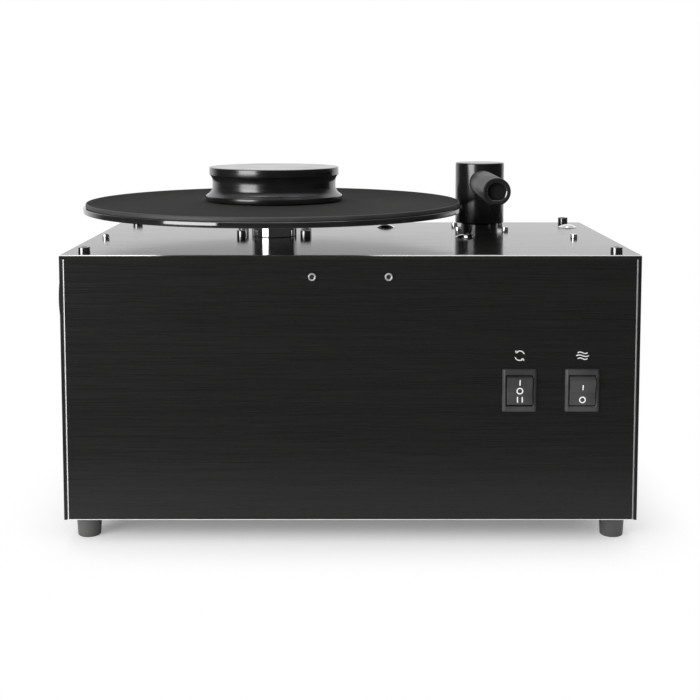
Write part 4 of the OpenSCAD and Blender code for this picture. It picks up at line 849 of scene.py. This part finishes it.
def stroke(bm, points, width, matrix, closed=False, face=lambda z: 0):
    """Adds a raised line along points (x, z), laid on a face towards -Y that stands out by face(z)."""
    count = len(points)
    rings = []
    for i, point in enumerate(points):
        before = points[i - 1] if closed or i else point
        after = points[(i + 1) % count] if closed or i < count - 1 else point
        along = Vector((after[0] - before[0], after[1] - before[1])).normalized()
        aside = Vector((-along.y, along.x)) * width / 2
        left, right = Vector(point) + aside, Vector(point) - aside
        rings.append([bm.verts.new(matrix @ Vector((p.x, y - face(p.y), p.y)))
                      for p, y in ((left, 0), (left, -INK), (right, -INK), (right, 0))])
    for near, far in zip(rings, rings[1:] + rings[:1] if closed else rings[1:]):
        bridge(bm, near, far)
    if not closed:
        bm.faces.new(rings[0])
        bm.faces.new(rings[-1])


def circle_points(r, steps=28, start=0, sweep=360, cz=0):
    """Points round a circle, or along part of it."""
    return [(r * math.cos(math.radians(start + sweep * i / steps)),
             cz + r * math.sin(math.radians(start + sweep * i / steps)))
            for i in range(steps if sweep == 360 else steps + 1)]


def make_marks(name, body, face_matrix, marks):
    """Printed marks of a rocker on its sloped face, each (bars, height): bars for on, none for off's ring."""
    bm = bmesh.new()
    for bars, z in marks:
        if not bars:
            stroke(bm, circle_points(2.0 * MM, cz=z), MARK_W, face_matrix, True, rocker_face)
        for i in range(bars):
            x = (i - (bars - 1) / 2) * 3.4 * MM
            bar = [(x, z + step * MM) for step in (-2, -1, 0, 1, 2)]
            stroke(bm, bar, MARK_W, face_matrix, face=rocker_face)
    piece = link(bm, name, "ink")
    finish_piece(piece, body, "rocker_plastic")


def icon_place(switch):
    """Frame of the pictogram over a switch."""
    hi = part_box(switch)[1]
    return Matrix.Translation(Vector((middle(switch).x, front_y - 0.005 * MM, hi.z + 9.5 * MM)))


def make_icons():
    """Plain pictograms over the switches: a turning arrow pair, and three lines of moving air."""
    bm = bmesh.new()
    place = icon_place("rotation_switch")
    r = 3.4 * MM
    for start in (20, 200):
        stroke(bm, circle_points(r, 14, start, 125), ICON_W, place)
        tip = math.radians(start + 125)
        at = Vector((r * math.cos(tip), r * math.sin(tip)))
        for side in (-1, 1):
            bearing = tip - math.pi / 2 + side * math.radians(38)
            barb = at + Vector((math.cos(bearing), math.sin(bearing))) * 1.7 * MM
            stroke(bm, [tuple(at), tuple(barb)], ICON_W, place)
    place = icon_place("vacuum_switch")
    steps = 16
    for row, length in ((-1, 7.0), (0, 9.0), (1, 7.0)):
        half = length * MM / 2
        points = [(-half + 2 * half * i / steps, (row * 2.1 + 0.55 * math.sin(i / steps * 2 * math.pi)) * MM)
                  for i in range(steps + 1)]
        stroke(bm, points, ICON_W, place)
    piece = link(bm, "panel_icons", "silver_ink")
    finish_piece(piece, "cabinet", "panel_black")


# Rear

def make_lever_ribs():
    """Raised ribs across the end of the drain lever."""
    lo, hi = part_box("drain_lever")
    bar_z = hi.z - 1.0 * MM
    mid_y = (lo.y + hi.y) / 2
    half_w, half_l = 0.35 * MM, 3 * MM
    bm = bmesh.new()
    for i in range(4):
        x = lo.x + (2 + i * 1.6) * MM
        bevelled_box(bm, (x - half_w, mid_y - half_l, bar_z - 0.2 * MM),
                     (x + half_w, mid_y + half_l, bar_z + 0.3 * MM), 0.15 * MM)
    ribs = link(bm, "lever_ribs", "red")
    finish_piece(ribs, "drain_lever", "lever_red")


# Everything on the model

make_platter()
make_mat()
make_hub()
make_clamp()
make_sleeve()
make_arm()
make_socket()
make_domes()
make_feet()
screws("corner_heads", "corner_screws", M5_CAP, "black_screws", "black_steel")
screws("block_heads", "bearing_screws", M5_CAP, "black_screws", "black_steel")
screws("plate_heads", "plate_screws", M3_CAP, "zinc_screws", "chrome")
screws("front_heads", "front_screws", M3_BUTTON, "zinc_screws", "steel", to_front=True)
make_switch("rotation_bezel", "rotation_switch")
make_switch("vacuum_bezel", "vacuum_switch")
rotation_frame = make_rocker("rotation_key", "rotation_rocker", "rotation_switch", 0)
vacuum_frame = make_rocker("vacuum_key", "vacuum_rocker", "vacuum_switch", 11)
make_marks("rotation_marks", "rotation_rocker", rotation_frame,
           [(1, 6.3 * MM), (0, 0.2 * MM), (2, -5.9 * MM)])
make_marks("vacuum_marks", "vacuum_rocker", vacuum_frame, [(1, 3.8 * MM), (0, -5.5 * MM)])
make_icons()
make_lever_ribs()

# Looks of the CAD objects that stay in view
CAD_LOOKS = {
    "side": ("base_plate", "rear_panel", "left_panel", "right_panel"),
    "panel": ("front_panel",),
    "top": ("top_plate",),
    "aluminium": ("corner_posts", "front_rail", "side_brackets", "bearing_block", "gearbox_case", "impeller"),
    "zinc": ("foot_screws", "hex_nuts", "long_screws"),
    "black_steel": ("panel_screws",),
    "bronze": ("platter_bearing",),
    "nylon": ("thrust_washer",),
    "can": ("drive_motor", "vacuum_motor", "power_supply"),
    "rubber": ("lift_seal", "isolators", "motor_mount", "clamp_pad"),
    "lid": ("tank_lid", "fan_cover", "fan_housing"),
    "tank": ("waste_tank",),
    "brass": ("drain_tap", "drive_gear", "motor_pinion"),
    "chrome": ("inlet_pins", "platter_shaft", "lift_tube"),
    "satin_black": ("side_vent",),
    "switch": ("mains_inlet",),
    "rocker": ("fuse_drawer",),
    "red": ("drain_lever",),
}
NODE_LOOKS = {part: look for look, names in CAD_LOOKS.items() for part in names}
for part, obj in NODES.items():
    if not obj.hide_render:
        dress(obj, NODE_LOOKS[part])


# Floor and light

def soft_step(tree, value, start, end):
    """Nought before the start, one past the end, and smooth between them."""
    made = node(tree, "ShaderNodeMapRange", interpolation_type="SMOOTHSTEP")
    made.inputs["From Min"].default_value = start
    made.inputs["From Max"].default_value = end
    tree.links.new(value, made.inputs["Value"])
    return made.outputs["Result"]


def length(tree, x, y):
    """Length of a vector from two parts."""
    squares = (maths(tree, "MULTIPLY", part, part) for part in (x, y))
    return maths(tree, "SQRT", maths(tree, "ADD", *squares))


def camera_rays(tree, path):
    """One for what the camera sees, straight or through something clear."""
    return maths(tree, "MAXIMUM", path.outputs["Is Camera Ray"], path.outputs["Is Transmission Ray"])


# Reflections see a dark camera side. Behind the object, between these parts of a direction along +Y, it turns
# white, and above it, between these parts along +Z, nearly so
DARK_SIDE = 0.07
WHITE_BEHIND = (0.35, 0.85)
WHITE_ABOVE = (0.55, 0.95)
ABOVE_SHARE = 0.8
FILL = 0.6
# Floor, measured from this far inside the cabinet's outline: where its paper has turned to plain white, and
# between which distances it goes dark in reflections
SHADOW_INSET = 0.04
PAPER_END = 0.11
DARK_FLOOR = (0.06, 0.3)
FLOOR_HALF = 6.0


def floor_material():
    """White paper floor with the object's shadow; away from it, the camera and reflections see white."""
    mat, tree, shader = new_material("floor_white")
    path = tree.nodes.new("ShaderNodeLightPath")
    glossy = path.outputs["Is Glossy Ray"]
    x, y, _ = parts(tree, "ShaderNodeTexCoord", "Object")
    half_w, half_d = (right_x - left_x) / 2 - SHADOW_INSET, (rear_y - front_y) / 2 - SHADOW_INSET
    out_x = maths(tree, "MAXIMUM", maths(tree, "SUBTRACT", maths(tree, "ABSOLUTE", x), half_w), 0.0)
    from_middle = maths(tree, "ABSOLUTE", maths(tree, "SUBTRACT", y, (rear_y + front_y) / 2))
    out_y = maths(tree, "MAXIMUM", maths(tree, "SUBTRACT", from_middle, half_d), 0.0)
    outside = length(tree, out_x, out_y)
    behind = soft_step(tree, maths(tree, "DIVIDE", y, length(tree, x, y)), *WHITE_BEHIND)
    camera_ray = camera_rays(tree, path)
    seen = maths(tree, "MAXIMUM", camera_ray, maths(tree, "MULTIPLY", glossy, behind))
    ahead = maths(tree, "MULTIPLY", glossy, maths(tree, "SUBTRACT", 1.0, behind))
    dark = maths(tree, "MULTIPLY", ahead, soft_step(tree, outside, *DARK_FLOOR))
    fibre = noise(tree, coords(tree), 260, 4.0, 0.6)
    paper = ramp(tree, fibre, [(0.3, 0.86), (0.7, 0.9)])
    tree.links.new(blend(tree, dark, paper, DARK_SIDE), shader.inputs["Base Color"])
    shader.inputs["Roughness"].default_value = 0.9
    shader.inputs["Specular IOR Level"].default_value = 0.05
    shader.inputs["Emission Color"].default_value = (1, 1, 1, 1)
    tree.links.new(maths(tree, "MULTIPLY", camera_ray, 0.2), shader.inputs["Emission Strength"])
    white = node(tree, "ShaderNodeEmission", Color=(1, 1, 1, 1), Strength=1.0)
    mix = tree.nodes.new("ShaderNodeMixShader")
    far = soft_step(tree, outside, 0.0, PAPER_END)
    tree.links.new(maths(tree, "MULTIPLY", far, seen), mix.inputs["Fac"])
    tree.links.new(shader.outputs[0], mix.inputs[1])
    tree.links.new(white.outputs[0], mix.inputs[2])
    tree.links.new(mix.outputs[0], tree.nodes["Material Output"].inputs["Surface"])
    return mat


floor_mesh = bpy.data.meshes.new("floor")
corners = [(x * FLOOR_HALF, y * FLOOR_HALF, 0) for x, y in ((-1, -1), (1, -1), (1, 1), (-1, 1))]
floor_mesh.from_pydata(corners, [], [(0, 1, 2, 3)])
floor = bpy.data.objects.new("floor", floor_mesh)
bpy.context.scene.collection.objects.link(floor)
floor_mesh.materials.append(floor_material())


def lamp(name, at, aim, size, power):
    """Soft rectangular lamp that faces a point; the camera doesn't see it."""
    data = bpy.data.lights.new(name, "AREA")
    data.shape = "RECTANGLE"
    data.size, data.size_y = size
    data.energy = power
    obj = bpy.data.objects.new(name, data)
    obj.location = at
    obj.rotation_euler = (Vector(aim) - Vector(at)).to_track_quat("-Z", "Y").to_euler()
    obj.visible_camera = False
    bpy.context.scene.collection.objects.link(obj)


lamp("lamp_left", (-1.22, -1.2, 0.52), (0, 0, 0.52), (0.95, 1.02), 24)
lamp("lamp_top", (-0.1, 0.3, 1.9), (0, 0, 0.2), (1.3, 0.9), 10)


def make_world():
    """White surroundings: plain white to the camera, an even fill, and a dark camera side in reflections."""
    world = bpy.data.worlds.new("world")
    bpy.context.scene.world = world
    world.use_nodes = True
    tree = world.node_tree
    background = tree.nodes["Background"]
    background.inputs["Color"].default_value = (1, 1, 1, 1)
    path = tree.nodes.new("ShaderNodeLightPath")
    _, y, z = parts(tree, "ShaderNodeTexCoord", "Generated")
    above = maths(tree, "MULTIPLY", soft_step(tree, z, *WHITE_ABOVE), ABOVE_SHARE)
    bright = maths(tree, "MAXIMUM", soft_step(tree, y, *WHITE_BEHIND), above)
    mirrored = maths(tree, "MULTIPLY_ADD", bright, 1 - DARK_SIDE, DARK_SIDE)
    glossy = path.outputs["Is Glossy Ray"]
    seen = camera_rays(tree, path)
    others = maths(tree, "SUBTRACT", 1.0, maths(tree, "MAXIMUM", glossy, seen))
    strength = maths(tree, "MULTIPLY_ADD", others, FILL, maths(tree, "MULTIPLY_ADD", glossy, mirrored, seen))
    tree.links.new(strength, background.inputs["Strength"])


make_world()
bpy.context.scene.view_settings.view_transform = "Standard"
